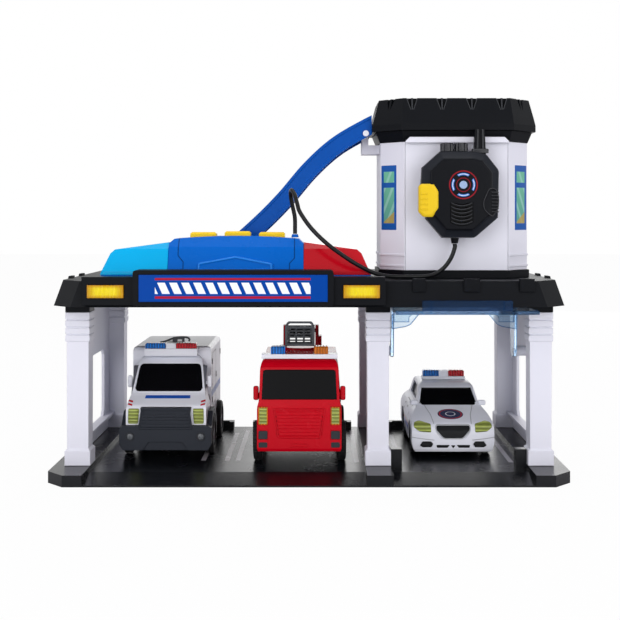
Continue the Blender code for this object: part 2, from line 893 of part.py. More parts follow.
def sign_frame():
    """Black moulding on the deck's front that holds the sign and the two amber lamps."""
    half, low, high = sign_frame_width / 2, sign_frame_bottom, sign_frame_bottom + sign_frame_height
    back = [(fascia_front(deck_top) - seat_gap, high), (fascia_front(deck_top) - seat_gap, deck_top),
            (fascia_front(low) - seat_gap, low)]
    side = [(base_front - sign_frame_depth, low), (base_front - sign_frame_depth, high)] + back
    outline = rounded(rectangle(sign_centre_x - half, sign_centre_x + half, low, high), sign_corner)
    frame = prism("sign_frame", side, "X", sign_centre_x - half - overrun, sign_centre_x + half + overrun)
    keep(frame, prism("sign_face", outline, "Y", base_front - sign_frame_depth - overrun, base_back))
    housing_top = low + lamp_housing_height
    lamp_back = [(fascia_front(deck_top) - seat_gap, housing_top),
                 (fascia_front(deck_top) - seat_gap, min(deck_top, housing_top - blend_depth)),
                 (fascia_front(low) - seat_gap, low + blend_depth)]
    lamp_side = [(base_front - lamp_housing_depth, low + blend_depth),
                 (base_front - lamp_housing_depth, housing_top)] + lamp_back
    lamps = []
    for x in lamp_centres():
        reach = lamp_housing_width / 2
        inner = sign_centre_x + (half - sign_corner) * (1 if x > sign_centre_x else -1)
        ends = sorted((x - reach, x + reach, inner))
        lamps.append(prism("lamp_housing", lamp_side, "X", ends[0], ends[-1]))
    add(frame, *lamps)
    front = base_front - sign_frame_depth
    gap = seat_gap
    plate_half, plate_low = sign_plate_width / 2 + gap, sign_plate_bottom() - gap
    cut(frame, block("sign_recess", (sign_centre_x - plate_half, front - overrun, plate_low),
                     (sign_centre_x + plate_half, front + sign_plate_thickness,
                      plate_low + sign_plate_height + 2 * gap)))
    for x in lamp_centres():
        lamp_half, z = lamp_width / 2 + gap, lamp_middle_z()
        front = base_front - lamp_housing_depth
        cut(frame, block("lamp_pocket", (x - lamp_half, front - overrun, z - lamp_height / 2 - gap),
                         (x + lamp_half, front + lamp_pocket_depth + gap, z + lamp_height / 2 + gap)))
    return finish(frame, CHARCOAL, 0.4)


def sign_plate_bottom():
    """Height of the sign plate's lower edge in its frame."""
    return sign_frame_bottom + (sign_frame_height - sign_plate_height) / 2


def sign_plate():
    """Flat sign in the frame's recess."""
    half, low = sign_plate_width / 2, sign_plate_bottom()
    back = base_front - sign_frame_depth + sign_plate_thickness - seat_gap
    plate = block("sign_plate", (sign_centre_x - half, back - sign_plate_thickness, low),
                  (sign_centre_x + half, back, low + sign_plate_height))
    return finish(plate, CONSOLE_BLUE, 0.35)


def amber_lens(name, x):
    """Clear amber lens with upright ribs."""
    back = base_front - lamp_housing_depth + lamp_pocket_depth
    front = back - lamp_depth
    step = lamp_width / (2 * lamp_rib_count)
    outline = [(x + lamp_width / 2, back), (x - lamp_width / 2, back)]
    for i in range(2 * lamp_rib_count + 1):
        outline.append((x - lamp_width / 2 + i * step, front + (0 if i % 2 else lamp_rib_depth)))
    z = lamp_middle_z()
    lens = prism(name, outline, "Z", z - lamp_height / 2, z + lamp_height / 2)
    return finish(lens, AMBER, 0.15, alpha=0.85)


# Console

console_side_shares = ((0, 0), (0, 0.11), (0.17, 0.80), (0.42, 1.12), (1, 1.12), (1, 0))
lens_half_shares = ((0, 0), (1, 0), (0.862, 0.66), (0.797, 0.78), (0, 1))
relief_half_shares = ((0.28, 0.22), (0.28, 0.385), (0, 0.53))
shoulder_share = 0.89        # height of the housing's corners against its shoulders
shoulder_inset_share = 0.93  # half-width at the shoulders against the whole half-width
crown_steps = 6


def console_side(height, inward):
    """Side outline of the console for a height, moved inwards by a distance."""
    front = base_front + console_front
    outline = scaled(console_side_shares, (front, deck_floor), (console_depth, height))
    return inset(outline, inward)


def console_face(inward):
    """Front outline of the console's housing: upright sides under a shallow arch."""
    half, low = console_width / 2, deck_floor
    shoulder = half * shoulder_inset_share
    points = [(console_x - half, low), (console_x + half, low),
              (console_x + half, low + console_height * shoulder_share)]
    for i in range(crown_steps + 1):
        share = 1 - 2 * i / crown_steps
        points.append((console_x + shoulder * share, console_top(shoulder * share)))
    points.append((console_x - half, low + console_height * shoulder_share))
    return inset(points, inward)


def console_top(offset):
    """Height of the console's arched top at a distance from its middle."""
    share = offset / (console_width / 2 * shoulder_inset_share)
    return deck_floor + console_height + console_crown * (1 - share ** 2)


def console_housing():
    """Blue housing of the console, hollow from below, with its sound buttons' holes."""
    low = deck_floor
    reach = console_width / 2 + overrun
    front = base_front + console_front
    back = front + console_depth
    housing = prism("console_housing", console_side(console_height, 0), "X",
                    console_x - reach, console_x + reach)
    keep(housing, prism("console_face", console_face(0), "Y", front - overrun, back + overrun))
    relief = prism("relief_depth", console_side(console_height, -relief_depth), "X",
                   console_x - reach, console_x + reach)
    relief_outline = scaled(mirrored(relief_half_shares)[:-1], (console_x, low),
                            (console_width, console_height))
    keep(relief, prism("relief_face", relief_outline, "Y", front - overrun, front + console_depth / 2))
    base_half = console_width / 2 + seat_gap + lens_width
    plan = rounded(rectangle(console_x - base_half, console_x + base_half,
                             front + blend_depth, back - blend_depth), console_corner, 2)
    foot = prism("console_foot", plan, "Z", low, low + console_base_height)
    add(housing, foot, relief)
    hollow = prism("console_hollow", console_side(console_height, skin), "X",
                   console_x - reach, console_x + reach)
    keep(hollow, prism("hollow_face", console_face(skin), "Y", front - overrun, back + overrun))
    opening = console_width / 2 - skin
    add(hollow, block("hollow_mouth", (console_x - opening + blend_depth, front + 2 * skin, low - overrun),
                      (console_x + opening - blend_depth, back - 2 * skin, low + 2 * skin)))
    cut(housing, hollow)
    for x in button_places():
        half_x, half_y = button_width() / 2 + running_gap, button_depth / 2 + running_gap
        y = button_y()
        cut(housing, block("button_hole", (x - half_x, y - half_y, low + console_height / 2),
                           (x + half_x, y + half_y, low + console_height * 2)))
    recess_z = battery_bottom() - seat_gap
    half = battery_width / 2 + seat_gap
    cut(housing, block("battery_recess", (console_x - half, back - battery_thickness - seat_gap, recess_z),
                       (console_x + half, back + overrun, recess_z + battery_height + 2 * seat_gap)))
    return finish(housing, CONSOLE_BLUE, 0.3)


def battery_bottom():
    """Height of the battery door's lower edge."""
    return deck_floor + console_base_height + battery_thickness


def battery_door():
    """Cover of the battery compartment in the console's back."""
    back = base_front + console_front + console_depth
    low = battery_bottom()
    half = battery_width / 2
    door = block("battery_door", (console_x - half, back - battery_thickness, low),
                 (console_x + half, back, low + battery_height))
    return finish(door, CONSOLE_BLUE, 0.35)


def outlet_place():
    """Middle of the cord's outlet on the console's top."""
    x = console_x + console_width / 2 * shoulder_inset_share - outlet_inset_x
    return x, base_front + console_front + console_depth - outlet_inset_y


def button_width():
    """Width of a sound button: three of them share the console's top, clear of the cord's outlet."""
    half_row = outlet_place()[0] - outlet_radius - button_outlet_gap - console_x
    return (2 * half_row - 2 * button_spacing) / 3


def button_places():
    """Middles of the three sound buttons, left to right."""
    pitch = button_width() + button_spacing
    return console_x - pitch, console_x, console_x + pitch


def button_y():
    """Depth of the sound buttons' middle."""
    return base_front + console_front + console_depth * 0.66


def sound_button(name, x):
    """Yellow push button that stands in a hole of the console's top."""
    top = console_top(x - console_x)
    half_x, half_y = button_width() / 2, button_depth / 2
    plan = rectangle(x - half_x, x + half_x, button_y() - half_y, button_y() + half_y)
    rings = [level(plan, top - button_stem), level(plan, top + button_rise - button_corner),
             level(inset(plan, button_corner), top + button_rise)]
    button = put_origin(loft(name, rings), (x, button_y(), top))
    return finish(button, YELLOW, 0.35)


def siren_lens(name, side, colour):
    """Hollow clear lens at one end of the console."""
    front = base_front + console_front
    back = front + console_depth
    base = deck_floor + console_base_height + seat_gap
    start = console_x + side * (console_width / 2 + seat_gap)
    outline = scaled(lens_half_shares, (start, base), (side * (lens_width - seat_gap), lens_height))
    profile = scaled(console_side_shares, (front + relief_depth, base),
                     (console_depth - 2 * relief_depth, lens_height))
    ends = sorted((start - side * overrun, start + side * (lens_width + overrun)))
    lens = prism(name, profile, "X", *ends)
    keep(lens, prism(name + "_face", outline, "Y", front - overrun, back + overrun))
    hollow = prism(name + "_hollow", inset(profile, lens_wall), "X", *ends)
    keep(hollow, prism(name + "_hollow_face", inset(outline, lens_wall), "Y",
                       front - overrun, back + overrun))
    mouth = sorted((start + side * 2 * lens_wall, start + side * lens_width * 0.82))
    add(hollow, block(name + "_mouth", (mouth[0], front + 3 * lens_wall, base - overrun),
                      (mouth[1], back - 3 * lens_wall, base + 2 * lens_wall)))
    cut(lens, hollow)
    return finish(lens, colour, 0.12, alpha=0.8)


def cord_outlet():
    """Short sleeve on the console's top that the handset's cord comes out of."""
    x, y = outlet_place()
    low = console_top(x - console_x) + console_crown / 4
    sleeve = rod("cord_outlet", (x, y, low), (x, y, low + outlet_height), outlet_radius, 16,
                 outlet_radius * 0.8)
    return finish(sleeve, CONSOLE_BLUE, 0.4)


# Tower

def tower_ring(z, outward, front_shift=0.0):
    """Outline of the eight-sided tower at a height, moved outwards by a distance."""
    half_x, half_y = tower_half_width + outward, tower_depth / 2 + outward
    corner = tower_corner + outward * corner_inset_share
    return level(octagon(tower_x, tower_y + front_shift, half_x, half_y, corner), z)


def tower_plinth():
    """Black foot of the tower, open in the middle."""
    high = deck_floor + tower_plinth_height
    foot = loft("tower_plinth", [tower_ring(deck_floor, tower_plinth_overhang),
                                 tower_ring(high, tower_plinth_overhang)])
    cut(foot, loft("plinth_hollow", [tower_ring(deck_floor - overrun, -2 * skin),
                                     tower_ring(high + overrun, -2 * skin)]))
    return finish(foot, CHARCOAL, 0.45)


def tower_shell():
    """White eight-sided tube with two raised bands, set back at the front for its panel."""
    shell = loft("tower_shell", [tower_ring(tower_bottom, 0), tower_ring(tower_top, 0)])
    for i in range(2):
        z = tower_bottom + band_first + i * band_pitch
        add(shell, loft("tower_band", [tower_ring(z, band_depth), tower_ring(z + band_height, band_depth)]))
    recess = tower_panel_thickness + seat_gap
    front_half = tower_panel_half() + seat_gap
    cut(shell, block("panel_recess", (tower_x - front_half, tower_front - overrun, tower_bottom - overrun),
                     (tower_x + front_half, tower_front + recess, tower_top + overrun)))
    shift = recess / 2
    hollow = []
    for z in (tower_bottom - overrun, tower_top + overrun):
        ring = octagon(tower_x, tower_y + shift, tower_half_width - skin,
                       tower_depth / 2 - shift - skin, tower_corner)
        hollow.append(level(ring, z))
    cut(shell, loft("tower_hollow", hollow))
    add(shell, slide_bracket())
    return finish(shell, WALL_WHITE, 0.4)


def tower_panel_half():
    """Half the width of the tower's front panel, just inside the flat front."""
    return tower_half_width - tower_corner - 2 * blend_depth


def tower_front_panel():
    """Flat front wall of the tower, let in between its angled corners."""
    half = tower_panel_half()
    panel = block("tower_front_panel", (tower_x - half, tower_front, tower_bottom),
                  (tower_x + half, tower_front + tower_panel_thickness, tower_top))
    return finish(panel, WALL_WHITE, 0.4)


def tower_collar():
    """Black ring that widens from the tower to its roof."""
    high = collar_bottom + collar_height
    rings = [tower_ring(collar_bottom, blend_depth), tower_ring(high, collar_overhang)]
    collar = loft("tower_collar", rings)
    half, slope = collar_relief_width / 2, collar_relief_height
    face = [(tower_x - half, collar_bottom), (tower_x + half, collar_bottom),
            (tower_x + half - slope, collar_bottom + slope), (tower_x - half + slope, collar_bottom + slope)]
    front = tower_front - collar_overhang
    add(collar, prism("collar_relief", face, "Y", front, tower_front + skin))
    cut(collar, loft("collar_hollow", [tower_ring(collar_bottom - overrun, -2 * skin),
                                       tower_ring(high + overrun, -2 * skin)]))
    return finish(collar, CHARCOAL, 0.4)


def roof_notch(name, x, y, turn):
    """Two slanting cuts with a rib between them, at one place of the roof's edge."""
    top, low = roof_top + overrun, roof_top - notch_height
    rise = (top - low) / notch_height
    tools = []
    for side in (-1, 1):
        rib, wide = side * notch_rib / 2, side * (notch_rib + (notch_width - notch_rib) * rise) / 2
        tool = prism(name, [(rib, low), (rib, top), (wide, top)], "Y", -overrun * 2, notch_depth)
        tool.data.transform(Matrix.Translation((x, y, 0)) @ Matrix.Rotation(turn, 4, "Z"))
        tools.append(tool)
    return tools


def tower_roof():
    """Black roof with a flared rim, a folded side and notches round its top edge."""
    heights = (0, roof_rim_height, roof_fold_height, roof_height)
    out = (roof_rim_overhang, roof_rim_overhang, roof_fold_overhang, roof_top_overhang)
    roof = loft("tower_roof", [tower_ring(roof_bottom + z, o) for z, o in zip(heights, out)])
    cut(roof, loft("roof_sink", [tower_ring(roof_top - roof_deck_sink, roof_top_overhang - roof_wall),
                                 tower_ring(roof_top + overrun, roof_top_overhang - roof_wall)]))
    ceiling = roof_top - roof_deck_sink - roof_inner_skin
    cut(roof, loft("roof_hollow", [tower_ring(roof_bottom - overrun, roof_top_overhang - roof_wall),
                                   tower_ring(ceiling, roof_top_overhang - roof_wall)]))
    half_x, half_y = tower_half_width + roof_top_overhang, tower_depth / 2 + roof_top_overhang
    tools = []
    for i in range(4):
        x = tower_x + (i - 1.5) * notch_pitch
        tools += roof_notch("notch", x, tower_y - half_y, 0)
        tools += roof_notch("notch", x, tower_y + half_y, math.pi)
    for side in (-1, 1):
        for y in (-notch_pitch / 2, notch_pitch / 2):
            tools += roof_notch("notch", tower_x + side * half_x, tower_y + y, side * math.pi / 2)
        for way in (-1, 1):
            middle = tower_corner / 2
            turn = side * math.pi / 4 if way < 0 else side * 3 * math.pi / 4
            tools += roof_notch("notch", tower_x + side * (half_x - middle),
                                tower_y + way * (half_y - middle), turn)
    bpy.context.view_layer.update()
    cut(roof, gather("roof_notches", tools))
    return finish(roof, CHARCOAL, 0.4)


# Slide

slide_route_shares = ((0, 0), (0.10, 0.004), (0.27, 0.13), (0.434, 0.316), (0.575, 0.506), (0.708, 0.714),
                      (0.843, 0.877), (1, 1), (1.08, 1.048))
slide_steps = 3


def slide_end_x():
    """Where the slide stops, just short of the roof's rim."""
    return tower_x - tower_half_width - roof_rim_overhang - running_gap


def curve_through(points, steps):
    """Points of a smooth curve through a row of points, with a number of steps between two of them."""
    padded = [points[0] * 2 - points[1]] + list(points) + [points[-1] * 2 - points[-2]]
    result = []
    for a, b, c, d in zip(padded, padded[1:], padded[2:], padded[3:]):
        for k in range(steps):
            t = k / steps
            result.append(b + (c - a) * (t / 2) + (2 * a - 5 * b + 4 * c - d) * (t ** 2 / 2)
                          + (3 * b - a - 3 * c + d) * (t ** 3 / 2))
    return result + [points[-1]]


def slide_line():
    """Lower edge of the slide's side walls, from the deck up to the tower."""
    start_x = slide_end_x() - slide_run
    points = [Vector((start_x + u * slide_run, deck_floor + v * slide_rise)) for u, v in slide_route_shares]
    return [Vector((point.x, max(point.y, deck_floor))) for point in curve_through(points, slide_steps)]


def slide_strip(low, high, past=0):
    """Outline between two distances above the slide's lower edge, run past its ends by a distance."""
    line = slide_line()
    upper, lower = [], []
    for i, point in enumerate(line):
        ahead, behind = line[min(i + 1, len(line) - 1)], line[max(i - 1, 0)]
        along = (ahead - behind).normalized()
        normal = Vector((-along.y, along.x))
        share = i / (len(line) - 1)
        point = point + along * past * ((i == len(line) - 1) - (i == 0))
        lower.append(tuple(point + normal * low(share)))
        upper.append(tuple(point + normal * high(share)))
    return lower + upper[::-1]


def slide_floor_offset(share):
    """Height of the slide floor's underside above its lower edge: nothing at the run-out."""
    return slide_floor_low * min(1, share / slide_runout_share)


def slide():
    """Blue channel with an S-shaped floor between two side walls."""
    half = slide_width / 2
    channel = prism("slide", slide_strip(lambda s: 0, lambda s: slide_height), "Y",
                    tower_y - half, tower_y + half)
    inner = half - slide_wall
    trough = slide_strip(lambda s: slide_floor_offset(s) + slide_floor_thickness,
                         lambda s: slide_height + overrun, overrun)
    under = slide_strip(lambda s: -overrun, lambda s: slide_floor_offset(s) - blend_depth, overrun)
    cut(channel, prism("slide_trough", trough, "Y", tower_y - inner, tower_y + inner),
        prism("slide_under", under, "Y", tower_y - inner, tower_y + inner))
    end = slide_end_x()
    cut(channel, block("slide_end", (end, tower_y - half - overrun, deck_floor),
                       (end + slide_run, tower_y + half + overrun, deck_floor + 2 * slide_rise)))
    x, z = slide_pin_place()
    cut(channel, rod("slide_pin_hole", (x, tower_y - half - overrun, z), (x, tower_y + half + overrun, z),
                     slide_pin_radius + seat_gap, 12))
    return finish(channel, SLIDE_BLUE, 0.25)


def slide_pin_place():
    """Place of the pin that holds the slide's top end, between its walls and under its floor."""
    line = slide_line()
    x = slide_end_x() - slide_pin_inset
    for before, after in zip(line, line[1:]):
        if before.x <= x <= after.x:
            along = (after - before).normalized()
            point = before + (after - before) * ((x - before.x) / (after.x - before.x))
            return tuple(point + Vector((-along.y, along.x)) * ((slide_floor_low - blend_depth) / 2))
    return x, deck_floor + slide_rise


def slide_pin():
    """White headed pin through the slide's walls and the tower's bracket."""
    x, z = slide_pin_place()
    half = slide_width / 2 + seat_gap
    pin = rod("slide_pin", (x, tower_y - half - blend_depth, z), (x, tower_y + half + blend_depth, z),
              slide_pin_radius, 12)
    for side in (-1, 1):
        add(pin, rod("pin_head", (x, tower_y + side * half, z),
                     (x, tower_y + side * (half + slide_pin_head_thickness), z), slide_pin_head, 12))
    return finish(pin, WALL_WHITE, 0.4)


def slide_bracket():
    """Arm on the tower's side with an eye for the slide's pin."""
    x, z = slide_pin_place()
    half = bracket_width / 2
    eye = slide_pin_radius + bracket_wall
    face = tower_x - tower_half_width + skin / 2
    top = collar_bottom - 2 * seat_gap
    arm = block("slide_bracket", (x - eye, tower_y - half, top - bracket_root), (face, tower_y + half, top))
    add(arm, block("bracket_post", (x - eye, tower_y - half, top - bracket_root / 2),
                   (x + eye, tower_y + half, z)))
    add(arm, rod("bracket_eye", (x, tower_y - half, z), (x, tower_y + half, z), eye, 16))
    return cut(arm, rod("bracket_hole", (x, tower_y - half - overrun, z), (x, tower_y + half + overrun, z),
                        slide_pin_radius + seat_gap, 12))


# Garage door

def door_pivot():
    """Axis (y, z) about which a quarter turn takes the door from under the deck to the bay's front."""
    near = base_front - front_overhang
    low = floor_height + door_closed_gap
    open_z = deck_bottom - door_drop - door_thickness / 2
    closed_y = post_front + door_closed_setback + door_thickness / 2
    return (near - low + open_z + closed_y) / 2, (open_z + closed_y - near + low) / 2


def door_arm_outer(side):
    """Outer face of the door's arm on one side."""
    return door_centre_x + side * (door_width / 2 - door_arm_thickness)


def garage_door():
    """Clear blue up-and-over door, drawn open under the deck, with two arms to its pivot pins."""
    y, z = door_pivot()
    near = base_front - front_overhang
    half = door_width / 2
    top = deck_bottom - door_drop
    low = top - door_thickness
    panel = block("garage_door", (door_centre_x - half, near, low),
                  (door_centre_x + half, near + door_height, top))
    handle = block("door_handle", (door_centre_x - door_handle_width / 2, near, low + blend_depth),
                   (door_centre_x + door_handle_width / 2, near + door_handle_thickness,
                    top + door_handle_height))
    rib_y = near + door_rib_setback
    leg, band, inner = door_rib_leg, door_rib_band, half - 2 * door_arm_thickness
    x, foot = door_centre_x, top - door_rib_drop
    portal = [(x - inner, top - blend_depth), (x - inner, foot), (x - inner + leg, foot),
              (x - inner + leg, low - band - leg / 2), (x - inner + 1.5 * leg, low - band),
              (x + inner - 1.5 * leg, low - band), (x + inner - leg, low - band - leg / 2),
              (x + inner - leg, foot), (x + inner, foot), (x + inner, top - blend_depth)]
    rib = prism("door_portal", portal, "Y", rib_y, rib_y + door_rib_thickness)
    add(panel, handle, rib)
    for side in (-1, 1):
        outer = door_arm_outer(side)
        ends = sorted((outer, outer - side * door_arm_thickness))
        width = door_arm_width / 2
        root = low + blend_depth
        arm_outline = rounded([(y - 2 * width, root), (y - width, z - width * 0.8),
                               (y + width, z - width * 0.8), (y + 2 * width, root)], width * 0.8, 2)
        arm = prism("door_arm", arm_outline, "X", *ends)
        tip = outer + side * (door_bearing_reach(side) - seat_gap)
        pin = rod("door_pin", (ends[0] if side > 0 else ends[1], y, z), (tip, y, z), door_pin_radius)
        add(panel, arm, pin)
    put_origin(panel, (door_centre_x, y, z))
    return finish(panel, DOOR_BLUE, 0.1, alpha=0.6)


def door_bearing_reach(side):
    """How far a door pin runs from its arm to the bottom of its bore."""
    if side > 0:
        root = post_outer - blend_depth - wall_skin + blend_depth
        bottom = root - blend_depth - door_bearing_wall
    else:
        root = middle_post_x + wall_skin / 2 - blend_depth
        bottom = root + blend_depth + door_bearing_wall
    return abs(bottom - door_arm_outer(side))


# Handset

handset_outline_shares = ((-0.229, 0.0), (0.187, 0.0), (0.456, 0.219), (0.494, 0.229), (0.5, 0.781),
                          (0.334, 0.968), (0.162, 1.0), (-0.254, 1.0), (-0.487, 0.814), (-0.5, 0.627),
                          (-0.438, 0.219))


def clip_depth():
    """Depth of the clip from the tower's panel to the handset's back."""
    return clip_plate + tongue_head_thickness + 2 * seat_gap + clip_lip


def handset_back():
    """Depth of the handset's back face."""
    return tower_front - 2 * seat_gap - clip_depth()


def handset_seam():
    """Depth of the seam between the handset's two shells."""
    return handset_back() - handset_back_depth


def handset_outline():
    """Front outline of the handset."""
    return scaled(handset_outline_shares, (handset_x, handset_bottom), (handset_width, handset_height))


def clip_bottom():
    """Height of the clip's lower end."""
    return handset_bottom + handset_height * clip_bottom_share


def handset_clip():
    """Holder on the tower with a slot, open at the top, for the tongue on the handset's back."""
    back = tower_front - seat_gap
    front = back - clip_depth()
    low, half = clip_bottom(), clip_width / 2
    clip = block("handset_clip", (handset_x - half, front, low), (handset_x + half, back, low + clip_height))
    floor = low + clip_floor
    head = tongue_head / 2 + seat_gap
    neck = tongue_width / 2 + seat_gap
    head_back = back - clip_plate
    cut(clip, block("head_slot", (handset_x - head, head_back - tongue_head_thickness - 2 * seat_gap, floor),
                    (handset_x + head, head_back, low + clip_height + overrun)),
        block("neck_slot", (handset_x - neck, front - overrun, floor),
              (handset_x + neck, head_back - seat_gap, low + clip_height + overrun)))
    return finish(clip, CHARCOAL, 0.45)


def fluted_knob(name, x, y, low, high):
    """Round knob with flutes down its side."""
    outline = []
    for i in range(2 * knob_flutes):
        angle = math.pi * i / knob_flutes
        radius = knob_radius - (knob_flute_depth if i % 2 else 0)
        outline.append((x + radius * math.cos(angle), y + radius * math.sin(angle)))
    return prism(name, outline, "Z", low, high)


def handset_back_shell():
    """Rear half of the handset with its aerial, its two knobs and the tongue that hangs in the clip."""
    seam, back = handset_seam(), handset_back()
    outline = handset_outline()
    small = inset(outline, handset_corner)
    shell = loft("handset_back_shell", [upright(outline, seam), upright(outline, back - handset_corner),
                                        upright(small, back)])
    top = handset_bottom + handset_height
    middle = seam + handset_back_depth * 0.42
    aerial_x = handset_x + aerial_offset
    half, deep = aerial_width / 2, aerial_depth / 2
    base = rectangle(aerial_x - half, aerial_x + half, middle - deep + blend_depth, middle + deep)
    aerial = loft("aerial", [level(base, top - handset_height * 0.12), level(base, top),
                             level(inset(base, handset_corner / 3), top + aerial_rise)])
    add(shell, aerial)
    for offset in (knob_offset, second_knob_offset):
        x, y = handset_x + offset, middle + blend_depth
        add(shell, rod("knob_stem", (x, y, top - 2 * blend_depth), (x, y, top + 2 * blend_depth), knob_radius / 2),
            fluted_knob("knob", x, y, top + seat_gap, top + knob_rise))
    neck, head = tongue_width / 2, tongue_head / 2
    low = clip_bottom() + clip_floor + seat_gap
    high = clip_bottom() + clip_height
    head_back = tower_front - seat_gap - clip_plate - seat_gap
    head_front = head_back - tongue_head_thickness
    add(shell, block("tongue_neck", (handset_x - neck, back - blend_depth, low),
                     (handset_x + neck, head_front + blend_depth, high)),
        block("tongue_head", (handset_x - head, head_front, low), (handset_x + head, head_back, high)))
    return finish(shell, CHARCOAL, 0.4)


def talk_box():
    """Height range of the talk button."""
    low = handset_bottom + handset_height * talk_low_share
    return low, low + talk_height


def handset_front_shell():
    """Front half of the handset: badge disc, speaker slots, finger ridges and the talk button's pocket."""
    seam = handset_seam() - seat_gap
    front = seam - handset_front_depth
    outline = handset_outline()
    small = inset(outline, handset_corner)
    shell = loft("handset_front_shell", [upright(outline, seam), upright(outline, front + handset_corner),
                                         upright(small, front)])
    x, z = handset_x + badge_offset_x, handset_bottom + handset_height * badge_share
    add(shell, rod("badge", (x, front + blend_depth, z), (x, front - badge_rise, z), badge_radius, 28))
    slots = []
    top = handset_bottom + handset_height * slot_top_share
    for i in range(slot_count):
        slot_z = top - i * slot_pitch
        x = handset_x + slot_offset_x
        slots.append(block("slot", (x - slot_width / 2, front - overrun, slot_z - slot_height),
                           (x + slot_width / 2, front + slot_depth, slot_z)))
    right = handset_x + handset_width / 2
    for i in range(slot_count):
        ridge_z = handset_bottom + handset_height * 0.29 + i * 1.3 * slot_pitch
        slots.append(block("ridge_gap", (right - slot_depth, front - overrun, ridge_z),
                           (right + overrun, seam + overrun, ridge_z + slot_height)))
    bpy.context.view_layer.update()
    cut(shell, gather("shell_slots", slots))
    low, high = talk_box()
    left = handset_x - handset_width / 2
    cut(shell, block("talk_pocket", (left - overrun, front - overrun, low - running_gap),
                     (left - talk_rise + talk_width + talk_travel + running_gap,
                      front + talk_depth + running_gap, high + running_gap)))
    return finish(shell, CHARCOAL, 0.4)


def talk_button():
    """Yellow button in the handset's left edge, pressed inwards to talk."""
    front = handset_seam() - seat_gap - handset_front_depth
    low, high = talk_box()
    left = handset_x - handset_width / 2 - talk_rise
    outline = rounded(rectangle(left, left + talk_width, front, front + talk_depth), talk_rise, 2)
    button = prism("talk_button", outline, "Z", low, high)
    put_origin(button, (left, front + talk_depth / 2, (low + high) / 2))
    return finish(button, YELLOW, 0.35)


def relief_place():
    """Middle of the cord's strain relief, at the seam under the handset."""
    return handset_x + relief_offset_x, handset_seam() + handset_back_depth / 2


def handset_strain_relief():
    """Short tapered sleeve where the cord enters the handset."""
    x, y = relief_place()
    high = handset_bottom - seat_gap
    sleeve = rod("handset_strain_relief", (x, y, high), (x, y, high - relief_length), relief_radius, 16,
                 relief_radius * 0.75)
    return finish(sleeve, BLACK, 0.5)


# Cord

def cord_route():
    """Chosen points of the cord, from the console's outlet over its loop and the deck to the handset."""
    x0, y0 = outlet_place()
    start_z = console_top(x0 - console_x) + console_crown / 4 + outlet_height + seat_gap
    x1, y1 = relief_place()
    end_z = handset_bottom - 2 * seat_gap - relief_length
    return [(x0, y0, start_z), (x0, y0, start_z + 2 * cord_radius),
            (-0.0138, -0.0625, 0.2440), (-0.0160, -0.0640, 0.2550), (-0.0176, -0.0675, 0.2650),
            (-0.0167, -0.0740, 0.2695), (-0.0137, -0.0800, 0.2655), (-0.0112, -0.0845, 0.2570),
            (-0.0083, -0.0885, 0.2485), (0.0020, -0.0960, 0.2340), (0.0160, -0.1005, 0.2203),
            (0.0302, -0.1010, 0.2097), (0.0445, -0.0985, 0.2004), (0.0600, -0.0930, 0.1927),
            (0.0730, -0.0865, 0.1894), (0.0855, -0.0815, 0.1887), (0.1060, -0.0785, 0.1887),
            (0.1175, -0.0780, 0.1908), (0.1262, -0.0780, 0.1970), (0.1325, -0.0779, 0.2055),
            (x1, y1, end_z - 2 * cord_radius), (x1, y1, end_z)]


def handset_cord():
    """Flexible cord of the handset, as long as the photograph shows it."""
    route = [Vector(point) for point in cord_route()]
    fine = curve_through(route, 12)[12:-12]
    reach = [0.0]
    for before, after in zip(fine, fine[1:]):
        reach.append(reach[-1] + (after - before).length)
    count = round(reach[-1] / (cord_point_spacing * 2 * cord_radius))
    points = [route[0]]
    for k in range(count + 1):
        goal = reach[-1] * k / count
        i = min(max(n for n, length in enumerate(reach) if length <= goal), len(fine) - 2)
        points.append(fine[i].lerp(fine[i + 1], (goal - reach[i]) / (reach[i + 1] - reach[i])))
    points.append(route[-1])
    return finish(tube("handset_cord", points, cord_radius, 2), BLACK, 0.5)


# Vehicles

def outlines(shape, inward):
    """Side and front outline of a vehicle's shell, moved inwards by a distance."""
    side = scaled(shape["side"], (shape["y"], shape["z"]), (shape["length"], shape["height"]))
    front = scaled(mirrored(shape["front"]), (shape["x"], shape["z"]), (shape["width"], shape["height"]))
    corner = max(shape["corner"] - inward, shape["corner"] / 4)
    steps = 1 if inward else 2
    return rounded(inset(side, inward), corner, steps), rounded(inset(front, inward), corner, steps)


def shell_solid(name, shape, inward):
    """Full solid inside a vehicle's shell outlines."""
    side, front = outlines(shape, inward)
    half, x = shape["width"], shape["x"]
    body = prism(name, side, "X", x - half, x + half)
    return keep(body, prism(name + "_face", front, "Y", shape["y"] - overrun,
                            shape["y"] + shape["length"] + overrun))


def shell_mouth(name, shape):
    """Block that opens a vehicle's shell at the bottom."""
    wall, x, y, z = vehicle_skin + mouth_lip, shape["x"], shape["y"], shape["z"]
    half = shape["width"] * shape["front"][0][0] - wall
    return block(name, (x - half, y + wall, z - overrun),
                 (x + half, y + shape["length"] - wall, z + 2 * shape["corner"]))


def vehicle_shell(name, shape, axles, wheel_radius):
    """Hollow moulded shell of a vehicle with its wheel arches, open at the bottom."""
    body = arches(shell_solid(name, shape, 0), shape, axles, wheel_radius)
    return cut(body, shell_solid(name + "_hollow", shape, vehicle_skin), shell_mouth(name + "_mouth", shape))


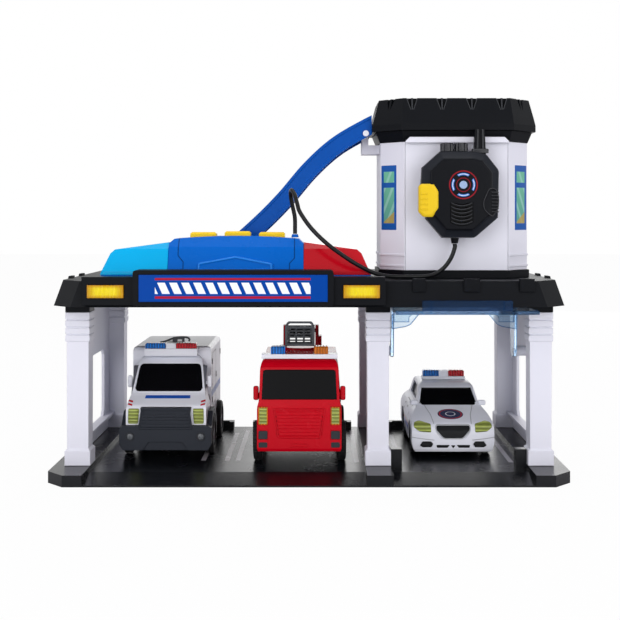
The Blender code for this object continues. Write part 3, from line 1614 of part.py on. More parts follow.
def glazing(name, shape, low_share, start_share, end_share):
    """Dark window insert that lines a vehicle's shell from inside, above its belt line."""
    core = shell_solid(name, shape, vehicle_skin + seat_gap)
    x, y, z, reach = shape["x"], shape["y"], shape["z"], shape["width"]
    low = z + shape["height"] * low_share
    box = block(name + "_reach", (x - reach, y + shape["length"] * start_share, low),
                (x + reach, y + shape["length"] * end_share, z + shape["height"] + overrun))
    keep(core, box)
    inner = shell_solid(name + "_inner", shape, 2 * vehicle_skin + seat_gap)
    hollow_box = block(name + "_inner_reach",
                       (x - reach, y + shape["length"] * start_share + vehicle_skin, low - overrun),
                       (x + reach, y + shape["length"] * end_share - vehicle_skin,
                        z + shape["height"] + overrun))
    keep(inner, hollow_box)
    drop = block(name + "_drop", (x - shape["width"] * 0.24, y + shape["length"] * (start_share + 0.16),
                                  low - overrun),
                 (x + shape["width"] * 0.24, y + shape["length"] * end_share - 2 * vehicle_skin,
                  low + 2 * vehicle_skin))
    add(inner, drop)
    cut(core, inner)
    return finish(core, DARK_GLASS, 0.12)


def chassis(name, shape, axles, track, wheel_radius):
    """Plate that closes a vehicle's shell, with a bored bearing across it for each axle."""
    x, wall = shape["x"], vehicle_skin + mouth_lip + seat_gap
    low = shape["z"] + seat_gap
    half = track / 2 - wheel_width - chassis_side_gap
    start, end = shape["y"] + wall, shape["y"] + shape["length"] - wall
    plate = block(name, (x - half, start, low), (x + half, end, low + chassis_plate))
    axle_z = axle_height(wheel_radius)
    for y in axles:
        add(plate, block("bearing", (x - half, y - bearing_length / 2, low + blend_depth),
                         (x + half, y + bearing_length / 2, axle_z + axle_radius + bearing_cover)))
    for y in axles:
        cut(plate, rod("axle_bore", (x - half - overrun, y, axle_z), (x + half + overrun, y, axle_z),
                       axle_radius + seat_gap, 12))
    return finish(plate, BLACK, 0.5)


def axle_height(wheel_radius):
    """Height of an axle whose wheels stand on the tray's floor."""
    return floor_height + seat_gap + wheel_radius


def wheelset(name, x, y, track, radius):
    """Two wheels on one axle, turned about the axle's line."""
    half, inner = track / 2, track / 2 - wheel_width
    side = [(0, half - hub_recess), (hub_radius, half - hub_recess), (hub_radius + hub_recess / 2, half),
            (radius - tyre_round, half), (radius, half - tyre_round), (radius, inner + tyre_round),
            (radius - tyre_round, inner), (axle_radius, inner)]
    profile = side + [(r, -along) for r, along in reversed(side)]
    wheels = turned(name, profile, (x, y, axle_height(radius)), wheel_sides)
    return finish(wheels, BLACK, 0.6)


def arches(body, shape, axles, wheel_radius):
    """Cut a vehicle's wheel arches through its sides."""
    x, reach, z = shape["x"], shape["width"], axle_height(wheel_radius)
    for y in axles:
        cut(body, rod("arch", (x - reach, y, z), (x + reach, y, z), wheel_radius + arch_gap, arch_sides))
    return body


def lamp(name, x, y, z, width, depth, height, colour):
    """Clear lamp cap with bevelled top edges."""
    plan = rectangle(x - width / 2, x + width / 2, y - depth / 2, y + depth / 2)
    cap = loft(name, [level(plan, z), level(plan, z + height - bar_corner),
                      level(inset(plan, bar_corner), z + height)])
    return finish(cap, colour, 0.15, alpha=0.85)


def light_bar(prefix, x, y, z, width, depth, height, lamp_height):
    """White bar with a blue and a red lamp on either side of a middle post."""
    bar = block(prefix + "_light_bar", (x - width / 2, y - depth / 2, z),
                (x + width / 2, y + depth / 2, z + height))
    half = bar_post_width / 2
    add(bar, block("bar_post", (x - half, y - depth / 2 + bar_corner, z + height - blend_depth),
                   (x + half, y + depth / 2 - bar_corner, z + height + lamp_height)))
    finish(bar, CAR_WHITE, 0.4)
    lamp_width = (width - bar_post_width) / 2 - bar_corner - seat_gap
    offset = half + seat_gap + lamp_width / 2
    for side, colour_name, colour in ((-1, "blue", LENS_BLUE), (1, "red", LENS_RED)):
        lamp(f"{prefix}_{colour_name}_lamp", x + side * offset, y, z + height + seat_gap, lamp_width,
             depth - bar_corner, lamp_height, colour)


def slats(name, x, y, z, width, count, pitch, height, depth):
    """Row of level grooves in an upright face at depth y."""
    grooves = []
    for i in range(count):
        low = z + i * pitch
        grooves.append(block(name, (x - width / 2, y - overrun, low), (x + width / 2, y + depth, low + height)))
    bpy.context.view_layer.update()
    return gather(name, grooves)


def face_cut(name, shape, half_shares, depth, both=True):
    """Prism that cuts a recess or an opening, drawn in shares of the front, through a vehicle's face."""
    outline = scaled(half_shares, (shape["x"], shape["z"]), (shape["width"], shape["height"]))
    tools = [prism(name, outline, "Y", shape["y"] - overrun * 3, shape["y"] + depth)]
    if both:
        twin = [(2 * shape["x"] - x, z) for x, z in outline]
        tools.append(prism(name, twin, "Y", shape["y"] - overrun * 3, shape["y"] + depth))
    bpy.context.view_layer.update()
    return gather(name, tools)


def side_cut(name, shape, side_shares):
    """Prism that cuts side windows, drawn in shares of the side, across a vehicle."""
    outline = rounded(scaled(side_shares, (shape["y"], shape["z"]), (shape["length"], shape["height"])),
                      vehicle_skin, 1)
    return prism(name, outline, "X", shape["x"] - shape["width"], shape["x"] + shape["width"])


# Ambulance

def ambulance_shapes():
    """Shell outlines of the ambulance's cab and of its box."""
    x = bay_centres()[0]
    y, z = stop_front - ambulance_stop_gap - ambulance_length, floor_height + ambulance_clearance
    cab = {"x": x, "y": y, "z": z, "length": ambulance_cab_length, "width": ambulance_cab_width,
           "height": ambulance_cab_height, "corner": ambulance_corner,
           "side": ((0, 0), (0, 0.44), (0.04, 0.50), (0.36, 0.61), (0.70, 0.94), (0.84, 1), (1, 1), (1, 0)),
           "front": ((0.5, 0), (0.5, 0.50), (0.462, 0.62), (0.405, 0.95), (0.36, 1))}
    box = {"x": x, "y": y + ambulance_box_start, "z": z, "length": ambulance_length - ambulance_box_start,
           "width": ambulance_box_width, "height": ambulance_height, "corner": ambulance_corner,
           "side": ((0, 0), (0, 1), (1, 1), (1, 0)), "front": ((0.5, 0), (0.5, 1))}
    return cab, box


def ambulance():
    """Ambulance: white shell of a cab and a tall box, on a grey chassis with its bumper."""
    cab, box = ambulance_shapes()
    x, y, z = cab["x"], cab["y"], cab["z"]
    axles = (y + ambulance_front_axle, y + ambulance_rear_axle)
    body = shell_solid("ambulance_body", cab, 0)
    add(body, shell_solid("ambulance_box", box, 0))
    arches(body, cab, axles, truck_wheel_radius)
    cut(body, shell_solid("cab_hollow", cab, vehicle_skin), shell_solid("box_hollow", box, vehicle_skin),
        shell_mouth("ambulance_mouth", dict(cab, length=ambulance_length)))
    cut(body, face_cut("ambulance_windscreen", cab, ((-0.43, 0.655), (0.43, 0.655), (0.39, 0.915),
                                                     (-0.39, 0.915)), ambulance_cab_length * 0.62, False),
        side_cut("ambulance_side_window", cab, ((0.50, 0.64), (0.80, 0.64), (0.80, 0.88), (0.74, 0.88))),
        face_cut("ambulance_headlamp", cab, ((0.345, 0.30), (0.475, 0.30), (0.475, 0.475), (0.33, 0.475)),
                 vehicle_skin / 3),
        ambulance_front("bumper_seat", seat_gap, ambulance_bumper_back + seat_gap, overrun))
    finish(body, CAR_WHITE, 0.35)
    ambulance_chassis(cab, axles)
    glazing("ambulance_glazing", cab, 0.60, 0.0, 0.93)
    bar_y = y + ambulance_box_start - ambulance_bar_inset - ambulance_bar_depth / 2
    light_bar("ambulance", x, bar_y, z + ambulance_cab_height + seat_gap, ambulance_bar_width,
              ambulance_bar_depth, ambulance_bar_height, ambulance_height * 0.055)
    roof_hook(x, box["y"] + hook_setback, z + ambulance_height + seat_gap)
    wheelset("ambulance_front_wheels", x, axles[0], truck_track, truck_wheel_radius)
    wheelset("ambulance_rear_wheels", x, axles[1], truck_track, truck_wheel_radius)


def ambulance_front(name, outward, back, drop=0):
    """Front outline of the ambulance's bumper and grille, drawn out to a depth behind its nose."""
    cab, _ = ambulance_shapes()
    x, low, half = cab["x"], cab["z"] + ambulance_bumper_rise, truck_track / 2
    high = low + ambulance_bumper_height
    low -= drop
    grille = ambulance_cab_width * 0.31
    outline = [(x - half * 0.92, low), (x + half * 0.92, low), (x + half, low + ambulance_bumper_height / 4),
               (x + half, high - ambulance_bumper_rise), (x + half * 0.93, high), (x + grille * 0.92, high),
               (x + grille, high + ambulance_grille_height), (x - grille, high + ambulance_grille_height),
               (x - grille * 0.92, high), (x - half * 0.93, high), (x - half, high - ambulance_bumper_rise),
               (x - half, low + ambulance_bumper_height / 4)]
    front = cab["y"] - ambulance_bumper_front
    return prism(name, inset(outline, -outward), "Y", front - outward * overrun, cab["y"] + back)


def ambulance_chassis(cab, axles):
    """Grey lower part of the ambulance: chassis, bumper with its grille, and front wheel fenders."""
    x, y, z = cab["x"], cab["y"], cab["z"]
    long_shape = dict(cab, length=ambulance_length)
    base = chassis("ambulance_chassis", long_shape, axles, truck_track, truck_wheel_radius)
    add(base, ambulance_front("bumper", 0, ambulance_bumper_back))
    front = y - ambulance_bumper_front
    slat = ambulance_grille_height / 7
    cut(base, slats("grille_slats", x, front, z + ambulance_bumper_rise + ambulance_bumper_height * 0.86,
                    cab["width"] * 0.52, 5, slat * 1.6, slat * 0.8, slat_depth))
    scoop = cab["width"] * 0.30
    cut(base, prism("bumper_scoop", [(x - scoop, z), (x + scoop, z),
                                     (x + scoop * 0.7, z + ambulance_bumper_height * 0.42),
                                     (x - scoop * 0.7, z + ambulance_bumper_height * 0.42)],
                    "Y", front - overrun, front + 2 * slat_depth))
    wheel_y, wheel_z = axles[0], axle_height(truck_wheel_radius)
    reach = truck_wheel_radius + arch_gap + ambulance_fender_band
    inner = max(cab["width"], ambulance_box_width) / 2 + seat_gap
    low = z + ambulance_bumper_rise + ambulance_bumper_height / 4
    profile = [(y, low), (y + overrun, low), (wheel_y, low), (wheel_y + reach, low),
               (wheel_y + reach, wheel_z + reach * 0.4), (wheel_y + reach * 0.5, wheel_z + reach),
               (wheel_y - reach * 0.5, wheel_z + reach), (y, wheel_z + reach * 0.35)]
    for side in (-1, 1):
        ends = sorted((x + side * inner, x + side * (truck_track / 2 - blend_depth)))
        fender = prism("fender", profile, "X", *ends)
        cut(fender, rod("fender_arch", (ends[0] - overrun, wheel_y, wheel_z), (ends[1] + overrun, wheel_y, wheel_z),
                        truck_wheel_radius + arch_gap, arch_sides))
        add(base, fender)
    return finish(base, DARK_GREY, 0.5)


def roof_hook(x, y, z):
    """Grey pad on the ambulance's roof with an upright hook."""
    half, long = hook_width / 2, hook_length / 2
    pad = block("ambulance_roof_hook", (x - half, y - long, z), (x + half, y + long, z + hook_pad))
    bend = [(x - hook_thickness, z + hook_pad - blend_depth), (x + hook_thickness, z + hook_pad - blend_depth),
            (x + hook_thickness, z + hook_height - hook_thickness),
            (x + half, z + hook_height - hook_thickness), (x + half, z + hook_height - 2 * hook_thickness),
            (x + half + hook_thickness, z + hook_height - 2 * hook_thickness),
            (x + half + hook_thickness, z + hook_height), (x - hook_thickness, z + hook_height)]
    add(pad, prism("hook_bend", bend, "Y", y - hook_thickness, y + hook_thickness))
    return finish(pad, DARK_GREY, 0.5)


# Fire engine

def engine_shape():
    """Shell outlines of the fire engine."""
    return {"x": bay_centres()[1], "y": stop_front - engine_stop_gap - engine_length,
            "z": floor_height + engine_clearance,
            "length": engine_length, "width": engine_width, "height": engine_height, "corner": engine_corner,
            "side": ((0, 0), (0, 0.50), (0.012, 0.56), (0.045, 0.92), (0.085, 1), (0.36, 1), (0.38, 0.955),
                     (1, 0.955), (1, 0)),
            "front": ((0.5, 0), (0.5, 0.50), (0.475, 0.57), (0.468, 0.92), (0.44, 1))}


def fire_engine():
    """Fire engine: red shell, light bar, and a ladder with a cage on a turntable."""
    shape = engine_shape()
    x, y, z = shape["x"], shape["y"], shape["z"]
    axles = (y + engine_front_axle, y + engine_rear_axle)
    body = vehicle_shell("engine_body", shape, axles, truck_wheel_radius)
    roof = z + engine_height * 0.955
    centre = y + turntable_setback
    cut(body, face_cut("engine_windscreen", shape, ((-0.445, 0.575), (0.445, 0.575), (0.43, 0.885),
                                                    (-0.43, 0.885)), engine_length * 0.09, False),
        side_cut("engine_side_window", shape, ((0.10, 0.60), (0.30, 0.60), (0.30, 0.88), (0.12, 0.88))),
        face_cut("engine_headlamp", shape, ((0.37, 0.30), (0.485, 0.30), (0.485, 0.50), (0.37, 0.50)),
                 vehicle_skin / 3),
        face_cut("engine_fog_lamp", shape, ((0.37, 0.14), (0.485, 0.14), (0.485, 0.24), (0.37, 0.24)),
                 vehicle_skin / 3),
        slats("engine_slats", x, y, z + engine_height * 0.19, engine_width * 0.55, slat_count,
              engine_height * 0.048, slat_height, slat_depth),
        rod("spindle_hole", (x, centre, roof - skin * 2), (x, centre, roof + overrun),
            turntable_spindle_radius + seat_gap))
    finish(body, ENGINE_RED, 0.3)
    finish(chassis("engine_chassis", shape, axles, truck_track, truck_wheel_radius), BLACK, 0.5)
    glazing("engine_glazing", shape, 0.53, 0.0, 0.34)
    bar_z = z + engine_height + seat_gap
    bar_y = y + engine_bar_setback + engine_bar_depth / 2
    bar = block("engine_light_bar", (x - engine_bar_width / 2, bar_y - engine_bar_depth / 2, bar_z),
                (x + engine_bar_width / 2, bar_y + engine_bar_depth / 2, bar_z + engine_bar_height))
    finish(bar, CAR_WHITE, 0.4)
    for side, tint, colour in ((-1, "blue", LENS_BLUE), (1, "amber", AMBER)):
        lamp(f"engine_{tint}_lamp", x + side * engine_lamp_pitch / 2, bar_y, bar_z + engine_bar_height + seat_gap,
             engine_lamp_width, engine_bar_depth - bar_corner, engine_lamp_height, colour)
    turntable(x, centre, roof + seat_gap)
    ladder(x, centre, roof + seat_gap)
    wheelset("engine_front_wheels", x, axles[0], truck_track, truck_wheel_radius)
    wheelset("engine_rear_wheels", x, axles[1], truck_track, truck_wheel_radius)


def turntable(x, y, z):
    """Red turntable with a spindle, two upright arms and a box beside them."""
    plate = rod("turntable", (x, y, z), (x, y, z + turntable_height), turntable_radius, 28)
    top = z + turntable_height
    add(plate, rod("spindle", (x, y, z - turntable_spindle_length), (x, y, z + blend_depth),
                   turntable_spindle_radius))
    pivot = top + ladder_pivot_height
    inner = ladder_width / 2 + running_gap
    half = turntable_arm_depth / 2
    arm = [(y - half, top - blend_depth), (y + half, top - blend_depth), (y + half * 0.6, z + turntable_arm_height),
           (y - half * 0.6, z + turntable_arm_height)]
    for side in (-1, 1):
        ends = sorted((x + side * inner, x + side * (inner + turntable_arm_thickness)))
        add(plate, prism("turntable_arm", arm, "X", *ends))
    box_x = x + inner + turntable_arm_thickness - blend_depth
    add(plate, block("turntable_box", (box_x, y - half, top - blend_depth),
                     (box_x + turntable_box / 3, y + half * 0.8, top + turntable_box)))
    cut(plate, rod("ladder_bore", (x - 2 * inner, y, pivot), (x + 2 * inner, y, pivot),
                   ladder_pin_radius + seat_gap, 12))
    put_origin(plate, (x, y, z))
    return finish(plate, ENGINE_RED, 0.35)


def ladder(x, y, z):
    """Grey ladder: two rails with rungs, a pivot pin at its foot and a railed cage at its tip."""
    pivot = z + turntable_height + ladder_pivot_height
    half, rail, tall = ladder_width / 2, ladder_rail, ladder_rail_height
    low, high = pivot - tall / 2, pivot + tall / 2
    tip = y - ladder_length
    body = block("ladder", (x - half, tip + cage_depth - blend_depth, low), (x - half + rail, y + ladder_tail, high))
    add(body, block("ladder_rail", (x + half - rail, tip + cage_depth - blend_depth, low),
                    (x + half, y + ladder_tail, high)))
    run = ladder_length - cage_depth - 2 * rail
    for i in range(ladder_rungs):
        rung_y = y - rail * 2 - run * i / ladder_rungs
        add(body, rod("rung", (x - half + blend_depth, rung_y, pivot), (x + half - blend_depth, rung_y, pivot),
                      ladder_rung_radius, 6))
    reach = half + running_gap + turntable_arm_thickness
    add(body, rod("ladder_pin", (x - reach, y, pivot), (x + reach, y, pivot), ladder_pin_radius, 12))
    add(body, *ladder_cage(x, tip, low))
    put_origin(body, (x, y, pivot))
    return finish(body, LADDER_GREY, 0.45)


def ladder_cage(x, tip, low):
    """Cage at the ladder's tip: a floor, a back frame, two side rails and a hoop."""
    half, wall = ladder_width / 2, cage_wall
    base = low - cage_drop
    top = base + cage_height - hoop_rise
    pieces = [block("cage_floor", (x - half, tip, base), (x + half, tip + cage_depth, base + wall))]
    for side in (-1, 1):
        ends = sorted((x + side * half, x + side * (half - wall)))
        for y in (tip, tip + cage_depth - wall):
            pieces.append(block("cage_post", (ends[0], y, base + blend_depth), (ends[1], y + wall, top)))
        pieces.append(block("cage_side", (ends[0], tip + blend_depth, top - wall),
                            (ends[1], tip + cage_depth - blend_depth, top - blend_depth)))
    pieces.append(block("cage_bar", (x - half + blend_depth, tip + cage_depth - wall + blend_depth, top - wall),
                        (x + half - blend_depth, tip + cage_depth - blend_depth, top - blend_depth)))
    pieces.append(block("cage_front", (x - half + blend_depth, tip + blend_depth / 2, top - wall),
                        (x + half - blend_depth, tip + wall - blend_depth / 2, top - blend_depth)))
    foot, tall = half - blend_depth, hoop_rise + wall / 2
    low_end = top - wall / 2
    outer = scaled(mirrored(hoop_half_shares), (x, low_end), (foot, tall))
    inner = scaled(mirrored(hoop_half_shares), (x, low_end), (foot - hoop_band, tall - hoop_band))
    pieces.append(prism("cage_hoop", outer + inner[::-1], "Y", tip + blend_depth, tip + wall - blend_depth))
    return pieces


# Police car

def police_shape():
    """Shell outlines of the police car."""
    return {"x": bay_centres()[2], "y": stop_front - police_stop_gap - police_length,
            "z": floor_height + police_clearance,
            "length": police_length, "width": police_width, "height": police_height, "corner": police_corner,
            "side": ((0.01, 0), (0, 0.12), (0, 0.36), (0.03, 0.46), (0.28, 0.66), (0.43, 0.95), (0.50, 1),
                     (0.76, 1), (0.84, 0.95), (0.93, 0.68), (1, 0.64), (1, 0.12), (0.99, 0)),
            "front": ((0.47, 0), (0.5, 0.14), (0.5, 0.48), (0.455, 0.60), (0.39, 0.66), (0.345, 0.95),
                      (0.30, 1))}


def police_car():
    """Police car: white saloon shell with dark windows and a blue and red light bar."""
    shape = police_shape()
    x, y, z = shape["x"], shape["y"], shape["z"]
    axles = (y + police_front_axle, y + police_rear_axle)
    body = vehicle_shell("police_body", shape, axles, car_wheel_radius)
    cut(body, face_cut("police_windscreen", shape, ((-0.36, 0.69), (0.36, 0.69), (0.315, 0.915),
                                                    (-0.315, 0.915)), police_length * 0.46, False),
        side_cut("police_side_window", shape, ((0.42, 0.70), (0.84, 0.70), (0.77, 0.92), (0.50, 0.92))),
        face_cut("police_headlamp", shape, ((0.28, 0.33), (0.46, 0.36), (0.475, 0.47), (0.28, 0.44)),
                 vehicle_skin / 3),
        face_cut("police_grille", shape, ((-0.17, 0.42), (-0.205, 0.42), (-0.205, 0.34), (-0.15, 0.23),
                                          (0.15, 0.23), (0.205, 0.34), (0.205, 0.42)), vehicle_skin / 2, False),
        face_cut("police_intake", shape, ((0.24, 0.10), (0.40, 0.10), (0.38, 0.19), (0.26, 0.19)),
                 vehicle_skin / 2))
    finish(body, CAR_WHITE, 0.3)
    finish(chassis("police_chassis", shape, axles, car_track, car_wheel_radius), BLACK, 0.5)
    glazing("police_glazing", shape, 0.665, 0.25, 0.95)
    light_bar("police", x, y + police_length * 0.60, z + police_height + seat_gap, police_bar_width,
              police_bar_depth, police_bar_height, police_lamp_height)
    wheelset("police_front_wheels", x, axles[0], car_track, car_wheel_radius)
    wheelset("police_rear_wheels", x, axles[1], car_track, car_wheel_radius)


GROUPS = {
    "garage_door_moving": (("garage_door",), lambda: (door_centre_x, *door_pivot())),
    "handset_moving": (("handset_front_shell", "handset_back_shell", "talk_button",
                        "handset_strain_relief"), lambda: (handset_x, handset_back(), handset_bottom)),
}


def hang_under_empty(name, members, place):
    """Parent the pieces that move together to one empty, without moving them."""
    holder = bpy.data.objects.new(name, None)
    PARTS.objects.link(holder)
    holder.location = place
    back = Matrix.Translation(-Vector(place))
    for member in members:
        piece = bpy.data.objects[member]
        piece.parent = holder
        piece.matrix_parent_inverse = back
    return holder


def group_moving_pieces():
    """One empty for the handset and one for each vehicle, at the place it moves from."""
    for name, (members, place) in GROUPS.items():
        hang_under_empty(name, members, place())
    shapes = {"ambulance": ambulance_shapes()[0], "engine": engine_shape(), "police": police_shape()}
    for prefix, shape in shapes.items():
        members = [thing.name for thing in PARTS.objects if thing.name.startswith(prefix + "_")]
        if prefix == "engine":
            members += ["turntable", "ladder"]
        hang_under_empty(prefix + "_moving", members, (shape["x"], shape["y"], floor_height))


def build():
    """Make every piece of the playset."""
    start_scene()
    base_tray()
    side_wall("left_wall", -1)
    middle_wall()
    side_wall("right_wall", 1)
    deck()
    sign_frame()
    sign_plate()
    for name, x in zip(("left_amber_lens", "right_amber_lens"), lamp_centres()):
        amber_lens(name, x)
    console_housing()
    battery_door()
    for name, x in zip(("sound_button_left", "sound_button_middle", "sound_button_right"), button_places()):
        sound_button(name, x)
    siren_lens("blue_siren_lens", -1, LENS_CYAN)
    siren_lens("red_siren_lens", 1, LENS_RED)
    cord_outlet()
    tower_plinth()
    tower_shell()
    tower_front_panel()
    tower_collar()
    tower_roof()
    slide()
    slide_pin()
    garage_door()
    handset_clip()
    handset_back_shell()
    handset_front_shell()
    talk_button()
    handset_strain_relief()
    handset_cord()
    ambulance()
    fire_engine()
    police_car()
    group_moving_pieces()


build()
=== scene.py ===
# %% [markdown]
# The toy is a moulded plastic rescue station: floor tray, walls, deck, console, tower, slide, a handset on
# its cord and three vehicles. Its solids come from the packed model, so this script never moves or resizes
# one of them. It gives every solid its plastic, and adds the fine pieces that a solid model leaves out.
# We start by loading the frame.

# %% Load the frame
import math

import bpy
import numpy as np
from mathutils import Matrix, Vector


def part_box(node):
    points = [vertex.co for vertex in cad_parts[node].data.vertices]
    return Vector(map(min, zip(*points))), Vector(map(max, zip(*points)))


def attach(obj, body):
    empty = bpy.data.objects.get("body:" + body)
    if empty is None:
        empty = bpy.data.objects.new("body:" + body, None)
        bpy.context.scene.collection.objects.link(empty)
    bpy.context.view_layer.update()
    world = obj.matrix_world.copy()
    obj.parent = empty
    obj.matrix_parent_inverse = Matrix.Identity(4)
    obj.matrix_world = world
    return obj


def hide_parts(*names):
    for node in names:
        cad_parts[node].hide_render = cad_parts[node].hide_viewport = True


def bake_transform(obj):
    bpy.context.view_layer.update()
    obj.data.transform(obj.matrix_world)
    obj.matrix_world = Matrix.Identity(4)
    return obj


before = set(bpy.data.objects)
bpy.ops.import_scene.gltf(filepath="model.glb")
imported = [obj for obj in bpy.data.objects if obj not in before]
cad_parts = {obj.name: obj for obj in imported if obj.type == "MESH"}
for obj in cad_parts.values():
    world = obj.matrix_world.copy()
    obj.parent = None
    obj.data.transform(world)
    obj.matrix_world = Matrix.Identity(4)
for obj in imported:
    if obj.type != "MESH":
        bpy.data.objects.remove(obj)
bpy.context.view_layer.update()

# %% [markdown]
# The camera comes first, because every later choice is judged through it. The photograph is taken with a
# level camera whose picture was cropped off centre: all depth lines run to one point, left of which and
# below which the frame was cut. So the camera stays level, and a small lens shift does the cropping.
# One number, the focal length in pixels, sets both the lens and the distance to the front of the posts.

# %% Camera
photo_size = 620
vanishing_point = (318, 218)             # in pixels from the photograph's top left corner
focal_pixels = 1050
pixel_size = 0.00094                     # metres for one pixel, at the front of the posts
sensor = 36
plinth_overhang = 0.002
post_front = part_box("left_wall")[0].y + plinth_overhang
eye_x, eye_z = 8.75 * pixel_size, 258.9 * pixel_size      # right of the toy's middle, above its floor

camera = bpy.data.objects.new("camera", bpy.data.cameras.new("camera"))
bpy.context.scene.collection.objects.link(camera)
camera.location = (eye_x, post_front - focal_pixels * pixel_size, eye_z)
camera.rotation_euler = (math.radians(90), 0, 0)
camera.data.sensor_width = sensor
camera.data.lens = focal_pixels / photo_size * sensor
camera.data.shift_x = (photo_size / 2 - vanishing_point[0]) / photo_size
camera.data.shift_y = (vanishing_point[1] - photo_size / 2) / photo_size
bpy.context.scene.camera = camera
bpy.context.scene.view_settings.view_transform = "Standard"
print("camera at", np.round(camera.location, 3), "lens", round(camera.data.lens, 1))

# %% [markdown]
# Every new piece is a surface worked out with numpy. A shell is a grid of points: one direction runs round
# a closed outline, the other runs along it from end to end, and quads join neighbours. The same few lines
# then make plates, lamps, wheels and tubes. A shell that came out inside out is turned by its volume.

# %% Shells from grids
def shell(grid, around=True, caps=True):
    """Points and faces of a grid of shape (rows, columns, 3).

    The quad of row i and column j joins (i, j), (i, j+1), (i+1, j+1) and (i+1, j). Columns close into a
    ring where around is set, and the first and last row get a flat cap. A negative volume, the sum of the
    mixed products of the triangles' corners, shows that the faces point inwards, and turns them.
    """
    rows, columns = grid.shape[:2]
    index = np.arange(rows * columns).reshape(rows, columns)
    if around:
        index = np.hstack([index, index[:, :1]])
    quads = np.stack([index[:-1, :-1], index[:-1, 1:], index[1:, 1:], index[1:, :-1]], -1).reshape(-1, 4)
    points = grid.reshape(-1, 3)
    centred = points - points.mean(0)
    corner = centred[quads]
    volume = np.sum(np.cross(corner[:, 0], corner[:, 1]) * corner[:, 2])
    volume += np.sum(np.cross(corner[:, 0], corner[:, 2]) * corner[:, 3])
    faces = quads.tolist()
    if caps:
        faces += [index[0, :columns][::-1].tolist(), index[-1, :columns].tolist()]
        for cap in faces[-2:]:
            fan = centred[cap]
            volume += np.sum(np.cross(fan[1:-1], fan[2:]) @ fan[0])
    if volume < 0 and (caps or around):
        faces = [face[::-1] for face in faces]
    return points, faces


def piece(name, shells, body, finish, crease=30, replaces=()):
    """Object of one or more shells in one of the finishes, which moves with a body of the frame."""
    starts = np.cumsum([0] + [len(points) for points, _ in shells])
    faces = [[corner + start for corner in face] for (_, part), start in zip(shells, starts) for face in part]
    mesh = bpy.data.meshes.new(name)
    mesh.from_pydata(np.concatenate([points for points, _ in shells]), [], faces)
    mesh.materials.append(finishes[finish].material)
    mesh.shade_smooth()
    mesh.set_sharp_from_angle(angle=math.radians(crease))
    made = bpy.data.objects.new(name, mesh)
    bpy.context.scene.collection.objects.link(made)
    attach(made, body)
    if replaces:
        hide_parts(*replaces)
    print(name, len(faces), "faces")
    return made


square = np.array([(0, 0), (1, 0), (1, 1), (0, 1)], float)
cube = shell(np.stack([np.insert(square, 2, height, axis=1) for height in (0.0, 1.0)]))
print("a cube as a shell has", len(cube[0]), "points and", len(cube[1]), "faces")

# %% [markdown]
# Flat parts start from an outline: corners in two of the three axes, rounded by a soft curve. A plate carries
# its outline through rows of insets and heights, which gives it thickness and a rounded edge in one go.

# %% Outlines and plates
def ring(corners, radius, inset=0.0, steps=4):
    """Outline with rounded corners, moved inwards.

    Each corner moves along the sum of its two edges' inward normals, divided by one plus their product.
    Its curve is corner-bending: start (1-t)^2 + corner 2t(1-t) + end t^2, with t from 0 to 1.
    """
    corners = np.asarray(corners, float)
    following = np.roll(corners, -1, 0)
    if np.sum(corners[:, 0] * following[:, 1] - corners[:, 1] * following[:, 0]) < 0:
        return ring(corners[::-1], radius, inset, steps)
    along = (following - corners) / np.linalg.norm(following - corners, axis=1, keepdims=True)
    normal = np.stack([-along[:, 1], along[:, 0]], 1)
    before = np.roll(normal, 1, 0)
    share = inset / (1 + np.sum(normal * before, 1, keepdims=True))
    moved = corners + (normal + before) * share
    to_next, to_last = np.roll(moved, -1, 0) - moved, np.roll(moved, 1, 0) - moved
    t = np.linspace(0, 1, steps + 1)[None, :, None]
    reach = max(radius - inset, radius * 0.2)

    def end(way):
        length = np.linalg.norm(way, axis=1, keepdims=True)
        return (moved + way / length * np.minimum(reach, 0.45 * length))[:, None]

    curve = end(to_last) * (1 - t) ** 2 + moved[:, None] * 2 * t * (1 - t) + end(to_next) * t ** 2
    return curve.reshape(-1, 2)


FACINGS = {"front": (0, 2, 1, -1), "back": (0, 2, 1, 1), "top": (0, 1, 2, 1), "under": (0, 1, 2, -1),
           "left": (1, 2, 0, -1), "right": (1, 2, 0, 1)}


def plate(corners, radius, rows, facing, at, steps=4):
    """Plate whose outline is carried through rows of (inset, height) above a plane.

    The outline's two numbers are the two axes of the plane, and height runs out of it at the place at.
    """
    u, v, out, sign = FACINGS[facing]
    grid = np.zeros((len(rows), len(corners) * (steps + 1), 3))
    for row, (inset, height) in zip(grid, rows):
        row[:, [u, v]] = ring(corners, radius, inset, steps)
        row[:, out] = at + sign * height
    return shell(grid)


def box_corners(x0, x1, y0, y1):
    """Four corners of an upright rectangle."""
    return [(x0, y0), (x1, y0), (x1, y1), (x0, y1)]


print("a rounded square has", len(ring(box_corners(0, 1, 0, 1), 0.2)), "points")

# %% [markdown]
# Turned parts and tubes are the same grid with a circle or a path in place of the rows. A path that is drawn
# by a few chosen points gets a smooth curve through them first, so that a tube has no kinks.

# %% Turned parts and tubes
def spun(profile, centre, axis, steps=48):
    """Turned shape: each row (radius, along) of the profile becomes a circle round an axis, 0, 1 or 2."""
    profile = np.asarray(profile, float)
    angle = np.linspace(0, 2 * np.pi, steps, endpoint=False)
    grid = np.zeros((len(profile), steps, 3))
    grid[..., (axis + 1) % 3] = profile[:, :1] * np.cos(angle)
    grid[..., (axis + 2) % 3] = profile[:, :1] * np.sin(angle)
    grid[..., axis] = profile[:, 1:]
    return shell(grid + np.asarray(centre))


